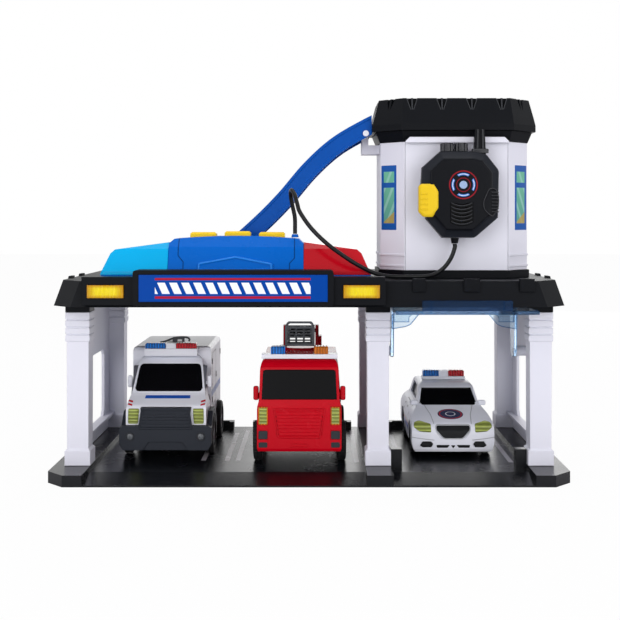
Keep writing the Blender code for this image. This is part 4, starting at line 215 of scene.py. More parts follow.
def swept(path, section, sideways, around=True):
    """Section carried along a path: point plus side times its first number plus upright times its second.

    The side is the direction's cross product with a fixed vector, so the section never twists.
    """
    path, section = np.asarray(path, float), np.asarray(section, float)
    way = np.gradient(path, axis=0)
    way /= np.linalg.norm(way, axis=1, keepdims=True)
    side = np.cross(way, sideways)
    side /= np.linalg.norm(side, axis=1, keepdims=True)
    rise = np.cross(side, way)
    grid = path[:, None] + side[:, None] * section[None, :, :1] + rise[:, None] * section[None, :, 1:]
    return shell(grid, around)


def circle(radius, steps=16):
    """Round section for a tube."""
    angle = np.linspace(0, 2 * np.pi, steps, endpoint=False)
    return radius * np.stack([np.cos(angle), np.sin(angle)], 1)


def smooth_line(points, steps):
    """Smooth curve through points: between b and c it is the cubic that leaves b along c - a."""
    points = np.asarray(points, float)
    padded = np.vstack([2 * points[0] - points[1], points, 2 * points[-1] - points[-2]])
    a, b, c, d = (padded[k:len(padded) - 3 + k][:, None] for k in range(4))
    t = np.linspace(0, 1, steps, endpoint=False)[None, :, None]
    bend, twist = 2 * a - 5 * b + 4 * c - d, 3 * b - a - 3 * c + d
    line = b + (c - a) * t / 2 + bend * t ** 2 / 2 + twist * t ** 3 / 2
    return np.vstack([line.reshape(-1, points.shape[1]), points[-1:]])


print("a smooth line through 3 points has", len(smooth_line([(0, 0), (1, 1), (2, 0)], 8)), "points")

# %% [markdown]
# Shader maths reads best as Python. A Wire holds one socket of a node tree, and + - * / on wires add Math
# nodes. Its other methods are the few masks that the finishes need: above an edge, or between two edges.

# %% Wires
class Wire:
    """A number on its way through a node tree."""

    def __init__(self, recipe, socket):
        self.recipe, self.socket = recipe, socket

    def math(self, operation, *others, clamp=False):
        return self.recipe.node("ShaderNodeMath", {"operation": operation, "use_clamp": clamp},
                                dict(enumerate((self, *others))))

    def __add__(self, other):
        return self.math("ADD", other)

    def __sub__(self, other):
        return self.math("SUBTRACT", other)

    def __rsub__(self, other):
        return self.math("MULTIPLY_ADD", -1.0, other)

    def __mul__(self, other):
        return self.math("MULTIPLY", other)

    def __truediv__(self, other):
        return self.math("DIVIDE", other)

    def __abs__(self):
        return self.math("ABSOLUTE")

    def over(self, edge, soft=0.0001):
        """1 above an edge and 0 below it, with a soft step."""
        return self.math("MULTIPLY_ADD", 1 / soft, 0.5 - edge / soft, clamp=True)

    def within(self, low, high, soft=0.0001):
        """1 between two edges."""
        return self.over(low, soft) * (1 - self.over(high, soft))

    def smaller(self, other):
        """The smaller of two numbers."""
        return self.math("MINIMUM", other)

    __radd__, __rmul__ = __add__, __mul__


print("a wire knows", sum(callable(part) for part in vars(Wire).values()), "operations")

# %% [markdown]
# A Recipe is one finish: its node method adds any other node from its type, its settings and what goes into
# its sockets. All patterns are measured in metres in the object's own coordinates, which are the frame's, so
# a stripe can be painted at the place where it is on the toy.

# %% Recipes
class Recipe:
    """One finish: a material whose Principled shader gets its constants, then its varying sockets."""

    def __init__(self, name, **constants):
        self.material = bpy.data.materials.new(name)
        self.material.use_nodes = True
        self.tree = self.material.node_tree
        self.shader = self.tree.nodes["Principled BSDF"]
        for socket, value in constants.items():
            self.shader.inputs[socket.replace("_", " ")].default_value = value

    def node(self, kind, settings=None, sockets=None, output=0):
        made = self.tree.nodes.new(kind)
        for key, value in (settings or {}).items():
            setattr(made, key, value)
        for key, value in (sockets or {}).items():
            self.plug(made.inputs[key], value)
        return Wire(self, made.outputs[output])

    def plug(self, socket, value):
        if isinstance(value, Wire):
            self.tree.links.new(value.socket, socket)
        else:
            socket.default_value = value

    def set(self, socket, value):
        self.plug(self.shader.inputs[socket], value)
        return self

    def place(self):
        """The point's place in the frame, as a vector."""
        return self.node("ShaderNodeTexCoord", output="Object")

    def axes(self):
        """The place's x, y and z."""
        parts = self.node("ShaderNodeSeparateXYZ", sockets={0: self.place()}).socket.node
        return [Wire(self, socket) for socket in parts.outputs]

    def noise(self, size, detail=2.0, stretch=(1, 1, 1)):
        """Cloudy number round 0.5 whose clouds have a size in metres."""
        moved = self.node("ShaderNodeMapping", sockets={"Vector": self.place(), "Scale": stretch})
        return self.node("ShaderNodeTexNoise", sockets={"Vector": moved, "Scale": 1 / size, "Detail": detail})

    def near(self, across, up, points, width, soft=0.0001):
        """1 within half a width of a line through points: the nearest place on each stretch is its start
        plus its direction times a share between 0 and 1, and the smallest distance counts."""
        nearest = None
        for (u0, v0), (u1, v1) in zip(points, points[1:]):
            du, dv = u1 - u0, v1 - v0
            a, b, square = across - u0, up - v0, du * du + dv * dv
            part = (a * (du / square) + b * (dv / square)).math("ADD", 0.0, clamp=True)
            a, b = a - part * du, b - part * dv
            gap = (a * a + b * b).math("SQRT")
            nearest = gap if nearest is None else nearest.smaller(gap)
        return 1 - nearest.over(width / 2, soft)

    def groove(self, mask, depth=0.0006, shade=0.3):
        """Press a mask into the surface: painted shade at its bottom, where the colour is scaled by shade,
        and lower by a depth.
        """
        # painted shade: the colour inside the mask is scaled darker
        dark = self.node("ShaderNodeVectorMath", {"operation": "SCALE"}, {0: self.colour, "Scale": shade})
        self.colour = self.mix(mask, self.colour, dark)
        self.set("Base Color", self.colour)
        self.normal = self.bump(1 - mask, depth, self.normal)
        return self.set("Normal", self.normal)

    def mix(self, mask, low, high):
        """Colour low where the mask is 0 and high where it is 1."""
        return self.node("ShaderNodeMix", {"data_type": "RGBA"}, {0: mask, 6: low, 7: high}, output=2)

    def edges(self, radius):
        """Surface direction with its sharp edges rounded off."""
        return self.node("ShaderNodeBevel", {"samples": 4}, {"Radius": radius})

    def bump(self, height, distance, under=None, strength=1.0):
        sockets = {"Height": height, "Distance": distance, "Strength": strength}
        if under is not None:
            sockets["Normal"] = under
        return self.node("ShaderNodeBump", {}, sockets)


def tint(colour, light):
    """Colour made lighter or darker, with its alpha."""
    return (*[min(1.0, part * light) for part in colour], 1.0)


print("mid grey at half its light is", tint((0.5, 0.5, 0.5), 0.5))

# %% [markdown]
# Almost everything here is moulded plastic, and what tells one moulding from another is its surface: the
# tray and the deck have a fine spark texture, the walls are satin, the slide and console are polished. So
# one function makes them all, from a colour, a roughness, the depth of the grain and a shine. It drifts the
# colour and gloss a little, as a moulding's flow does, and rounds every sharp edge by the mould's radius.

# %% Moulded plastic
CHARCOAL = (0.0035, 0.0042, 0.006)
HANDSET_BLACK = (0.003, 0.0036, 0.0056)


def moulded(name, colour, roughness, grain=0.00001, grain_size=0.0004, edge=0.0005, drift=0.05, shine=0.2):
    """Plastic with an even colour, a faint drift in colour and gloss, a fine grain and rounded edges."""
    recipe = Recipe(name, Specular_IOR_Level=shine)
    cloud = recipe.noise(0.02, 3.0)
    recipe.colour = recipe.mix(cloud, tint(colour, 1 - drift), tint(colour, 1 + drift))
    recipe.set("Base Color", recipe.colour)
    recipe.set("Roughness", (cloud - 0.5) * 0.1 + roughness)
    recipe.normal = recipe.bump(recipe.noise(grain_size, 1.0), grain, recipe.edges(edge))
    return recipe.set("Normal", recipe.normal)


def charcoal(name):
    """Black spark plastic of the deck, the roof and the frames."""
    return moulded(name, CHARCOAL, 0.42, 0.00004, 0.0005, shine=0.08)


def console_blue(name):
    """Polished blue of the console."""
    return moulded(name, (0.0, 0.118, 0.53), 0.28, 0.000004, 0.001, 0.001, 0.03, 0.06)


def vehicle_white(name):
    """Glossy white of the ambulance and the police car."""
    return moulded(name, (0.8, 0.82, 0.89), 0.24, 0.000002, 0.001, 0.0006, 0.012, 0.4)


def print_film(name, colour):
    """Printed film with a faint unevenness."""
    return moulded(name, colour, 0.3, 0.000002, 0.001, 0.0001, 0.03, 0.2)


print("blacks:", CHARCOAL, HANDSET_BLACK)

# %% [markdown]
# The colours were set against the photograph, one plastic at a time. Black is never quite black and white
# never quite white, or the shading would be lost. Films are the thin prints, and a seam is the shadow in a
# narrow gap, which is painted because a gap that thin can't be seen into.

# %% Plastics and prints
finishes = {
    "charcoal": charcoal("charcoal spark plastic"),
    # edge: lighter charcoal, a painted highlight for the edges of the roof's notches
    "edge": moulded("charcoal painted highlight edge", (0.02, 0.022, 0.027), 0.3, 0.00001, 0.0005, 0.0002, 0.1, 0.35),
    "wall": moulded("satin white wall plastic", (0.735, 0.745, 0.825), 0.42, 0.000006, 0.0004, 0.0008, 0.012),
    "console": console_blue("polished console blue"),
    # a lighter blue, painted highlight on the rim of the console's gable
    "console_painted_highlight": moulded("console edge blue", (0.01, 0.2, 0.7), 0.24, 0.000002, 0.001, 0.0003, 0.03, 0.2),
    "slide": moulded("polished slide blue", (0.0, 0.072, 0.37), 0.3, 0.000004, 0.001, 0.0004, 0.03, 0.12),
    "yellow": moulded("button yellow", (0.86, 0.58, 0.012), 0.34, 0.000006, 0.0006, 0.0008, 0.03),
    "talk_yellow": moulded("talk key yellow", (0.76, 0.52, 0.01), 0.34, 0.000006, 0.0006, 0.0008, 0.03),
    "handset": moulded("handset black", HANDSET_BLACK, 0.32, 0.00003, 0.0004, 0.0006, shine=0.09),
    "slat": moulded("speaker slat black", (0.012, 0.013, 0.017), 0.28, 0.00001, 0.0004, 0.0003, shine=0.3),
    "knob": moulded("knob black", (0.009, 0.01, 0.014), 0.26, 0.00001, 0.0004, 0.0002, shine=0.35),
    "cord": moulded("cord black", (0.005, 0.0055, 0.0065), 0.3, 0.00002, 0.0006, 0.0002, 0.05),
    "screw": moulded("zinc screw", (0.34, 0.34, 0.35), 0.3, 0.000008, 0.0006, 0.0001, 0.05, 0.5),
    "vehicle_white": vehicle_white("vehicle white"),
    "vehicle_red": moulded("fire engine red", (0.52, 0.001, 0.01), 0.26, 0.000002, 0.001, 0.0006, 0.03, 0.14),
    "dark_red": moulded("dark red trim", (0.14, 0.004, 0.008), 0.35, 0.00001, 0.0005, 0.0002),
    "bumper": moulded("bumper grey", (0.024, 0.028, 0.037), 0.46, 0.00003, 0.0004, 0.0005, shine=0.15),
    "underbody": moulded("underbody black", (0.01, 0.01, 0.012), 0.55, 0.00003, 0.0004, 0.0004),
    "ladder": moulded("ladder grey", (0.085, 0.092, 0.102), 0.38, 0.00001, 0.0004, 0.0003),
    "hook": moulded("roof hook grey", (0.11, 0.115, 0.125), 0.42, 0.00001, 0.0004, 0.0004),
    "tyre": moulded("tyre black", (0.012, 0.012, 0.013), 0.62, 0.00004, 0.0005, 0.0003),
    "hub": moulded("silver hub", (0.3, 0.31, 0.33), 0.3, 0.000004, 0.001, 0.0002, 0.04, 0.3),
    "silver": moulded("silver lamp", (0.42, 0.44, 0.46), 0.22, 0.000004, 0.001, 0.0002, 0.04, 0.3),
    "trim": moulded("dark trim", (0.028, 0.031, 0.037), 0.42, 0.00002, 0.0004, 0.0003),
    "mesh": moulded("dark mesh", (0.008, 0.009, 0.01), 0.38, 0.00025, 0.0009, 0.0002),
    "seam": moulded("seam shadow", (0.1, 0.105, 0.125), 0.5, 0.000002, 0.001, 0.0001, 0.02, 0.1),
    "red_seam": moulded("red seam shadow", (0.13, 0.001, 0.003), 0.5, 0.000002, 0.001, 0.0001, 0.02, 0.1),
    "film_blue": print_film("blue print", (0.006, 0.075, 0.42)),
    "film_red": print_film("red print", (0.5, 0.01, 0.02)),
    "film_white": print_film("white print", (0.78, 0.82, 0.88)),
    "film_dark": print_film("dark blue print", (0.006, 0.014, 0.07)),
}
print(len(finishes), "moulded plastics and prints")

# %% [markdown]
# Lamps, the siren ends and the garage door are clear coloured plastic. A lamp lens on such a toy is thin and
# has a pale moulding behind it, so it looks bright and saturated rather than see-through: a coated surface
# with a deep colour that drifts lighter and darker, and a painted highlight on the crests of its ribs.

# %% Clear lenses
def clear_lens(name, colour, glow, rib_size=0.0, rib_axis=0, rib_depth=0.0003, dark=0.7, cloud_size=0.006,
               shine=0.35):
    """Coloured lens whose colour drifts between a lighter and a darker tint, with moulded ribs if rib_size is
    given, whose crests take the lighter tint as a painted highlight.
    """
    recipe = Recipe(name, Specular_IOR_Level=shine)
    cloud = recipe.noise(cloud_size, 2.0)
    recipe.colour = recipe.mix((cloud - 0.35) * 2.5, tint(colour, glow), tint(colour, dark))
    recipe.set("Base Color", recipe.colour)
    recipe.set("Roughness", cloud * 0.1 + 0.12)
    height, depth = cloud * 0.15, 0.0002
    if rib_size:
        wave = (recipe.axes()[rib_axis] * (2 * math.pi / rib_size)).math("SINE")
        height, depth = height + wave, rib_depth
        # painted highlight: the crests of the ribs take the lighter tint and the hollows the darker one
        painted_crest_shading = (wave * 0.5 + 0.5) * (1.2 - cloud)
        recipe.set("Base Color", recipe.mix(painted_crest_shading.over(0.55, 0.7), tint(colour, dark), tint(colour, glow)))
    recipe.set("Normal", recipe.bump(height, depth, recipe.edges(0.0005)))
    return recipe


def amber_lens():
    """Yellow lens with a painted glow, paler in its middle and deep orange along its edge, and a fine grid of
    prisms pressed into its back whose crests are painted darker as shade.
    """
    recipe = Recipe("amber lens", Specular_IOR_Level=0.3)
    x, _, z = recipe.axes()
    left, right = (abs(x - middle) for middle in (-0.1822, 0.04735))
    # painted glow: paler yellow in the lens's middle, deeper orange towards its edges
    painted_glow_middle = (1 - left.smaller(right).over(0.0125, 0.008)) * (1 - abs(z - 0.17745).over(0.0042, 0.003))
    turns = 2 * math.pi / 0.0011
    ribs = (x * turns).math("SINE") * (z * turns).math("SINE")
    # painted shading of the prisms: their hollows lighter, their crests darker
    hollow = recipe.mix(painted_glow_middle, (0.62, 0.3, 0.001, 1), (0.96, 0.82, 0.03, 1))
    painted_crest_shading = recipe.mix(painted_glow_middle, (0.48, 0.19, 0.0, 1), (0.8, 0.6, 0.0, 1))
    recipe.set("Base Color", recipe.mix(ribs * 0.5 + 0.5, hollow, painted_crest_shading))
    recipe.set("Roughness", recipe.noise(0.01) * 0.1 + 0.12)
    return recipe.set("Normal", recipe.bump(ribs, 0.00015, recipe.edges(0.0005)))


finishes |= {
    "amber": amber_lens(),
    "siren_blue": clear_lens("siren end light blue", (0.0, 0.41, 0.78), 1.03, dark=0.97, cloud_size=0.05,
                             shine=0.12),
    "siren_red": clear_lens("siren end red", (0.47, 0.002, 0.01), 1.03, dark=0.97, cloud_size=0.05,
                            shine=0.2),
    "lamp_blue": clear_lens("lamp blue", (0.001, 0.14, 0.52), 1.7, 0.0027, 0, 0.0003, 0.55, 0.006),
    "lamp_red": clear_lens("lamp red", (0.52, 0.006, 0.016), 1.5, 0.0027, 0, 0.0003, 0.6, 0.006),
    "lamp_amber": clear_lens("lamp amber", (0.66, 0.17, 0.004), 1.3, 0.0027, 0, 0.0003, 0.6, 0.006),
    "headlamp": clear_lens("headlamp yellow green", (0.4, 0.47, 0.11), 1.35, 0.0034, 2, 0.0004, 0.55, 0.01),
    "fog": clear_lens("fog lamp", (0.1, 0.11, 0.12), 1.4, dark=0.6, cloud_size=0.002),
    "glass": clear_lens("dark window", (0.003, 0.003, 0.004), 1.0, cloud_size=0.05, shine=0.12),
}
print(len(finishes), "finishes with the clear lenses")

# %% [markdown]
# Only the garage door shows what is behind it, so it alone gets real transmission. Clear blue sheet is nearly
# colourless when one looks through its face, and deep blue where one looks along it, at its edges.

# %% Clear door
def clear_door():
    """See-through door: nearly clear, with the blue of its thickness gathered in its edges.

    An edge is where the surface turns sharply, so the colour follows how far the Bevel node's rounded
    direction leaves the true one, as one minus their dot product.
    """
    recipe = Recipe("clear blue door", Transmission_Weight=0.95, IOR=1.35, Specular_Tint=(0.35, 0.62, 1.0, 1))
    cloud = recipe.noise(0.03, 2.0)
    true = recipe.node("ShaderNodeNewGeometry", output="True Normal")
    turn = 1 - recipe.node("ShaderNodeVectorMath", {"operation": "DOT_PRODUCT"},
                           {0: recipe.edges(0.0016), 1: true}, output="Value")
    x, y, z = recipe.axes()
    door_x, clip_out, clip_half, soft = 0.1411, 0.0364, 0.004, 0.0003
    upright = abs(abs(abs(x - door_x) - clip_out) - clip_half).within(-0.1, 0.0005, soft)
    lines = upright * z.over(0.1535, soft) + z.within(0.1572, 0.158, soft)
    clips = lines * (1 - y.over(-0.1255, 0.0002))      # edges of two clips, on the front lip alone
    clear = recipe.mix(cloud, (0.76, 0.88, 0.96, 1), (0.8, 0.91, 0.98, 1))
    thick = (turn.over(0.015, 0.03) + clips).math("MINIMUM", 1.0)
    front = (1 - y.over(-0.118, 0.001)).smaller(z.over(0.145, 0.001)) * 0.85
    recipe.set("Base Color", recipe.mix((thick + front).math("MINIMUM", 1.0), clear, (0.02, 0.14, 0.44, 1)))
    recipe.set("Roughness", cloud * 0.08 + 0.05)
    recipe.set("Normal", recipe.bump(recipe.noise(0.004, 2.0), 0.00005, recipe.edges(0.0004)))
    return recipe


finishes["door"] = clear_door()
print(len(finishes), "finishes with the door")

# %% [markdown]
# The cord runs from the console's top, over a loop and along the deck, up into the handset. Both its ends
# are in the photograph, so its real length is what we see. It is a limp 4 mm lead, and its route is a row
# of chosen points with one smooth curve through them. The handset can be lifted off its clip, but the tube
# keeps this one shape and belongs to no body.

# %% Cord
cord_radius = 0.002
outlet_top = (-0.0136, -0.06175, 0.2283)
cord_points = [outlet_top, (-0.0136, -0.06175, 0.2323), (-0.0138, -0.0625, 0.244), (-0.016, -0.064, 0.255),
               (-0.0176, -0.0675, 0.265), (-0.0167, -0.074, 0.2695), (-0.0137, -0.08, 0.2655),
               (-0.0112, -0.0845, 0.257), (-0.0083, -0.0885, 0.2485), (0.002, -0.096, 0.234),
               (0.016, -0.1005, 0.2203), (0.0302, -0.101, 0.2097), (0.0445, -0.0985, 0.2004),
               (0.06, -0.093, 0.1927), (0.073, -0.0865, 0.1894), (0.0855, -0.0815, 0.1887),
               (0.106, -0.0785, 0.1887), (0.1175, -0.078, 0.1908), (0.1262, -0.078, 0.197),
               (0.1325, -0.0779, 0.2055), (0.1362, -0.0777, 0.2153), (0.1362, -0.0777, 0.2193)]
cord_line = smooth_line(cord_points, 14)

handset_lead = piece("handset_lead", [swept(cord_line, circle(cord_radius, 20), (0.15, 0.98, 0.1))],
                     "station", "cord", replaces=("handset_cord",))
handset_lead.parent = None
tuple(cord_points[15])
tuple(cord_points[-2])
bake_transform(handset_lead)

# %% [markdown]
# The toy was photographed in soft light, so large panels light it: one from the left front, one from the
# right front, and weaker ones from above and behind. A colour should render about as it is written.

# %% Light panels
def light_panel(name, place, aim, size, power):
    """Square soft light that looks at a point."""
    data = bpy.data.lights.new(name, "AREA")
    data.size, data.energy = size, power
    panel = bpy.data.objects.new(name, data)
    bpy.context.scene.collection.objects.link(panel)
    panel.location = place
    way = np.asarray(aim) - np.asarray(place)
    tilt, swing = math.atan2(math.hypot(way[0], way[1]), -way[2]), math.atan2(way[0], -way[1]) + math.pi
    panel.rotation_euler = (tilt, 0, swing)
    return panel


middle = (0, 0, 0.15)
light_panel("key panel", (-0.8, -1.6, 0.62), middle, 1.2, 11.5)
light_panel("fill panel", (1.0, -1.5, 0.42), middle, 1.2, 10)
light_panel("top panel", (0.0, -0.2, 1.5), middle, 1.2, 6)
light_panel("back panel", (0.4, 1.6, 0.6), middle, 1.2, 5)
print("studio with", len(bpy.data.lights), "panels")

# %% [markdown]
# The photograph's background is pure white. So the world is white to rays that come straight from the camera,
# and to what clear and shiny plastic shows of it, while the light that it sheds on the toy stays weaker.

# %% White backdrop
world = bpy.data.worlds.new("studio")
bpy.context.scene.world = world
world.use_nodes = True
tree = world.node_tree
backdrop = tree.nodes["Background"]
white = tree.nodes.new("ShaderNodeBackground")
white.inputs["Color"].default_value = (1, 1, 1, 1)
backdrop.inputs["Color"].default_value = (1.0, 0.94, 0.99, 1)
backdrop.inputs["Strength"].default_value = 0.52
seen = tree.nodes.new("ShaderNodeLightPath")
either = tree.nodes.new("ShaderNodeMath")
either.operation, either.use_clamp = "ADD", True
shiny = tree.nodes.new("ShaderNodeMath")
shiny.operation = "ADD"
blend = tree.nodes.new("ShaderNodeMixShader")
for start, end in ((seen.outputs["Is Camera Ray"], either.inputs[0]),
                   (seen.outputs["Is Transmission Ray"], shiny.inputs[0]),
                   (seen.outputs["Is Glossy Ray"], shiny.inputs[1]),
                   (shiny.outputs[0], either.inputs[1]),
                   (either.outputs[0], blend.inputs[0]),
                   (backdrop.outputs[0], blend.inputs[1]),
                   (white.outputs[0], blend.inputs[2]),
                   (blend.outputs[0], tree.nodes["World Output"].inputs[0])):
    tree.links.new(start, end)
print("backdrop with", len(tree.nodes), "nodes")

# %% [markdown]
# The toy stands on a pale floor. The camera sees it nearly white, with a trace of the shadow kept, so that
# the toy doesn't float, and it still throws its light up under the deck.

# %% Floor
def floor_finish():
    """Pale floor that the camera sees as white, with part of the shadow kept."""
    white_share = 0.96
    recipe = Recipe("pale floor", Roughness=0.8)
    recipe.set("Base Color", (0.86, 0.87, 0.88, 1))
    glow = recipe.node("ShaderNodeEmission", sockets={"Color": (1, 1, 1, 1), "Strength": 1.0})
    ray = recipe.node("ShaderNodeLightPath", output="Is Camera Ray")
    plain = Wire(recipe, recipe.shader.outputs[0])
    mixed = recipe.node("ShaderNodeMixShader", sockets={0: ray * white_share, 1: plain, 2: glow})
    recipe.tree.links.new(mixed.socket, recipe.tree.nodes["Material Output"].inputs["Surface"])
    return recipe


floor_half = 6.0
floor_corners = [(x, y, 0) for x, y in box_corners(-floor_half, floor_half, -floor_half, floor_half)]
floor_mesh = bpy.data.meshes.new("floor")
floor_mesh.from_pydata(floor_corners, [], [[0, 1, 2, 3]])
floor_mesh.materials.append(floor_finish().material)
floor = bpy.data.objects.new("floor", floor_mesh)
bpy.context.scene.collection.objects.link(floor)
print("floor", 2 * floor_half, "m wide")

# %% [markdown]
# Each solid of the frame now gets its finish by name. Where a node has print or stripes on it, its own
# recipe follows later.

# %% Finishes of the solids
dressed = {
    "charcoal": ("base_tray", "deck", "sign_frame", "tower_plinth", "tower_collar", "tower_roof"),
    "wall": ("left_wall", "middle_wall", "right_wall", "tower_shell", "tower_front_panel", "slide_pin"),
    "console": ("console_housing", "battery_door", "cord_outlet"),
    "slide": ("slide",),
    "yellow": ("sound_button_left", "sound_button_middle", "sound_button_right", "talk_button"),
    "handset": ("handset_clip", "handset_back_shell", "handset_front_shell", "handset_strain_relief"),
    "cord": ("handset_cord",),
    "amber": ("left_amber_lens", "right_amber_lens"),
    "siren_blue": ("blue_siren_lens",),
    "siren_red": ("red_siren_lens",),
    "door": ("garage_door",),
    "vehicle_white": ("ambulance_body", "ambulance_light_bar", "police_body", "police_light_bar",
                      "engine_light_bar"),
    "vehicle_red": ("engine_body", "turntable"),
    "bumper": ("ambulance_chassis",),
    "hook": ("ambulance_roof_hook",),
    "underbody": ("engine_chassis", "police_chassis"),
    "ladder": ("ladder",),
    "tyre": ("ambulance_front_wheels", "ambulance_rear_wheels", "engine_front_wheels", "engine_rear_wheels",
             "police_front_wheels", "police_rear_wheels"),
    "glass": ("ambulance_glazing", "engine_glazing", "police_glazing"),
    "lamp_blue": ("ambulance_blue_lamp", "engine_blue_lamp", "police_blue_lamp"),
    "lamp_red": ("ambulance_red_lamp", "police_red_lamp"),
    "lamp_amber": ("engine_amber_lamp",),
}


def dress(node, recipe):
    """Give a solid of the frame its finish."""
    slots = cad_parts[node].data.materials
    slots.clear()
    slots.append(recipe.material)


for finish, nodes in dressed.items():
    for node in nodes:
        dress(node, finishes[finish])
print(sum(len(nodes) for nodes in dressed.values()), "solids dressed")

# %% [markdown]
# The sign is a printed plate: blue with a red line above and below a white band. The band is a generic row
# of slanted bars, as on any rescue vehicle. Print has no thickness, so it is painted by the place of each
# point on the plate.

# %% Sign print
def sign_print():
    """Blue print with two red lines and a band of white slanted bars."""
    recipe = moulded("sign print", (0.0, 0.05, 0.31), 0.3, 0.000002, 0.001, 0.0003, 0.02, 0.06)
    x, _, z = recipe.axes()
    low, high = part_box("sign_plate")
    left, right, pitch, slant = low.x + 0.0145, high.x - 0.0152, 0.0107, 0.45
    across = x.within(left, right)
    lines = (z.within(0.1714, 0.1736) + z.within(0.1879, 0.1899)) * across
    bars = ((x + z * slant) / pitch).math("FRACT").within(0.18, 0.82, 0.012) * z.within(0.1757, 0.1857)
    colour = recipe.mix(lines, recipe.colour, (0.38, 0.01, 0.03, 1))
    recipe.set("Base Color", recipe.mix(bars * across, colour, (0.8, 0.84, 0.9, 1)))
    return recipe


dress("sign_plate", sign_print())
print("sign plate printed")

# %% [markdown]
# The tray's floor carries pale lane stripes, and shallow arcs are pressed along its front edge. The console
# has seams where its middle block meets its sides. The stripes are painted by place, and the arcs and seams
# are pressed in by place, with painted shade at their bottom.

# %% Tray and console marks
LANES = [(-0.1035, -0.0373, 0.11), (-0.0805, -0.0373, 0.0936), (-0.0697, -0.0373, 0.1082),
         (0.0455, -0.0445, 0.1082), (0.0875, -0.045, 0.085), (0.195, -0.045, 0.085)]    # x, first y, last y


def tray_print():
    """Charcoal floor with slanted lane stripes and a row of shallow pressed arcs along its front, with
    painted shade in the arcs.
    """
    recipe = moulded("tray charcoal", CHARCOAL, 0.26, 0.00002, 0.0005, 0.0005, 0.1, 0.28)
    x, y, z = recipe.axes()
    floor_low, floor_high = 0.0062, 0.0079
    top = z.over(floor_low, 0.0004) * (1 - z.over(floor_high, 0.0003))
    first, *others = ((1 - abs(x - middle).over(0.0024, 0.0003)) * y.within(near_y, far_y)
                      for middle, near_y, far_y in LANES)
    worn = recipe.noise(0.012, 4.0).within(0.3, 0.9, 0.3)
    recipe.colour = recipe.mix(sum(others, first) * top * (worn * 0.3 + 0.7), recipe.colour,
                               (0.42, 0.41, 0.44, 1))
    recipe.set("Base Color", recipe.colour)
    arc_length, arc_place, arc_rise = 0.02, 0.0895, 0.004
    wave = abs(((x / arc_length).math("FRACT") - 0.5) * 2)
    arc = y + arc_place - wave * wave * arc_rise
    return recipe.groove(arc.within(-0.0008, 0.0008) * x.within(-0.165, 0.0), 0.0004, 0.6)


def console_print():
    """Polished blue with the two stepped seams of its middle block, pressed in with painted shade."""
    recipe = console_blue("console blue with seams")
    x, y, z = recipe.axes()
    front = 1 - y.over(-0.062, 0.0005)
    left = [(-0.1216, 0.224), (-0.1216, 0.2085), (-0.1166, 0.2027), (-0.1166, 0.188)]
    right = [(-0.0136, 0.224), (-0.0136, 0.2061), (-0.0181, 0.2014), (-0.0181, 0.188)]
    seams = recipe.near(x, z, left, 0.0008) + recipe.near(x, z, right, 0.0008)
    return recipe.groove(seams * front, 0.0006, 0.35)


dress("base_tray", tray_print())
dress("console_housing", console_print())
print("tray with", len(LANES), "stripes and console with 2 seams")

# %% [markdown]
# Lamps, windows and trim lie on the toy's curved fronts, so a flat plate would float or sink. A draped plate
# takes its outline in one view and asks for the surface's depth at every point. So a side of the toy is two
# things: the way it faces, and a function that gives its depth. Plates, rims and seams all work on a side.

# %% Draped plates
BUTTON = ((0, -0.0005), (0, 0.0003), (0.0002, 0.0005))       # thin part with a rounded edge
GLASS = ((0, -0.0006), (0, 0.0003), (0.0004, 0.0007))        # window pane, a little thicker
BAR = ((0, -0.0006), (0, 0.0004), (0.0003, 0.0006))          # bar of the ladder's cage
STEP = ((0, -0.0008), (0, 0.0006), (0.0004, 0.001))          # step or bumper at a vehicle's back


def film(lift=0.0001):
    """Rows of a printed film, which ends at a lift above the skin."""
    return (0, -0.0003), (0, lift)


def draped(corners, side, rows=BUTTON, radius=0.0008, steps=4, rings=8, crown=0.0):
    """Plate on a side: outlines at rows of (inset, height) above the surface's depth at each point.

    Rings of size s shrink from the last outline to its middle, at that height plus crown (1 - s squared).
    """
    facing, depth = side
    u, v, out, sign = FACINGS[facing]
    outlines = [(ring(corners, radius, inset, steps), height) for inset, height in rows]
    last, height = outlines[-1]
    middle = last.mean(0)
    sizes = np.linspace(1, 0, rings + 1)[1:] * 0.98 + 0.02 if rings else []
    outlines += [(middle + (last - middle) * size, height + crown * (1 - size ** 2)) for size in sizes]
    grid = np.zeros((len(outlines), len(last), 3))
    for row, (outline, lift) in zip(grid, outlines):
        row[:, [u, v]] = outline
        row[:, out] = depth(outline[:, 0], outline[:, 1]) + sign * lift
    return shell(grid)


def rim(corners, side, radius, width, height, sink=0.0006):
    """Raised frame that follows an outline: up its outer edge, across its width and down its inner edge."""
    soft = width / 5
    rows = [(0, -sink), (0, height - soft), (soft, height), (width - soft, height), (width, height - soft),
            (width, -sink)]
    return draped(corners, side, rows, radius, rings=0)


def seam(corners, side, radius=0.0015, width=0.0005):
    """Narrow line of painted shadow that follows an outline, as high as a film."""
    rows = [(0, -0.0003), (0, 0.0001), (width, 0.0001), (width, -0.0003)]
    return draped(ring(corners, radius, 0, 6), side, rows, 0.0001, steps=1, rings=0)


level_top = "top", lambda across, up: 0 * across
print("a square rim has", len(rim(box_corners(0, 1, 0, 1), level_top, 0.1, 0.2, 0.1)[1]), "faces")

# %% [markdown]
# Most trim is a few equal parts: two lamps, four blocks, a row of bars. One function makes a piece of them,
# with one plate, rim or seam for each outline. The outlines come from small helpers, because vehicles are the
# same on both sides of their middle.

# %% Trim
def trim(name, body, finish, outlines, sides, make=draped, more=(), **shape):
    """Piece with one plate, rim or seam for each outline on one side or on a list of sides."""
    sides = sides if isinstance(sides, list) else [sides]
    shells = [make(outline, side, **shape) for side in sides for outline in outlines]
    return piece(name, shells + list(more), body, finish)


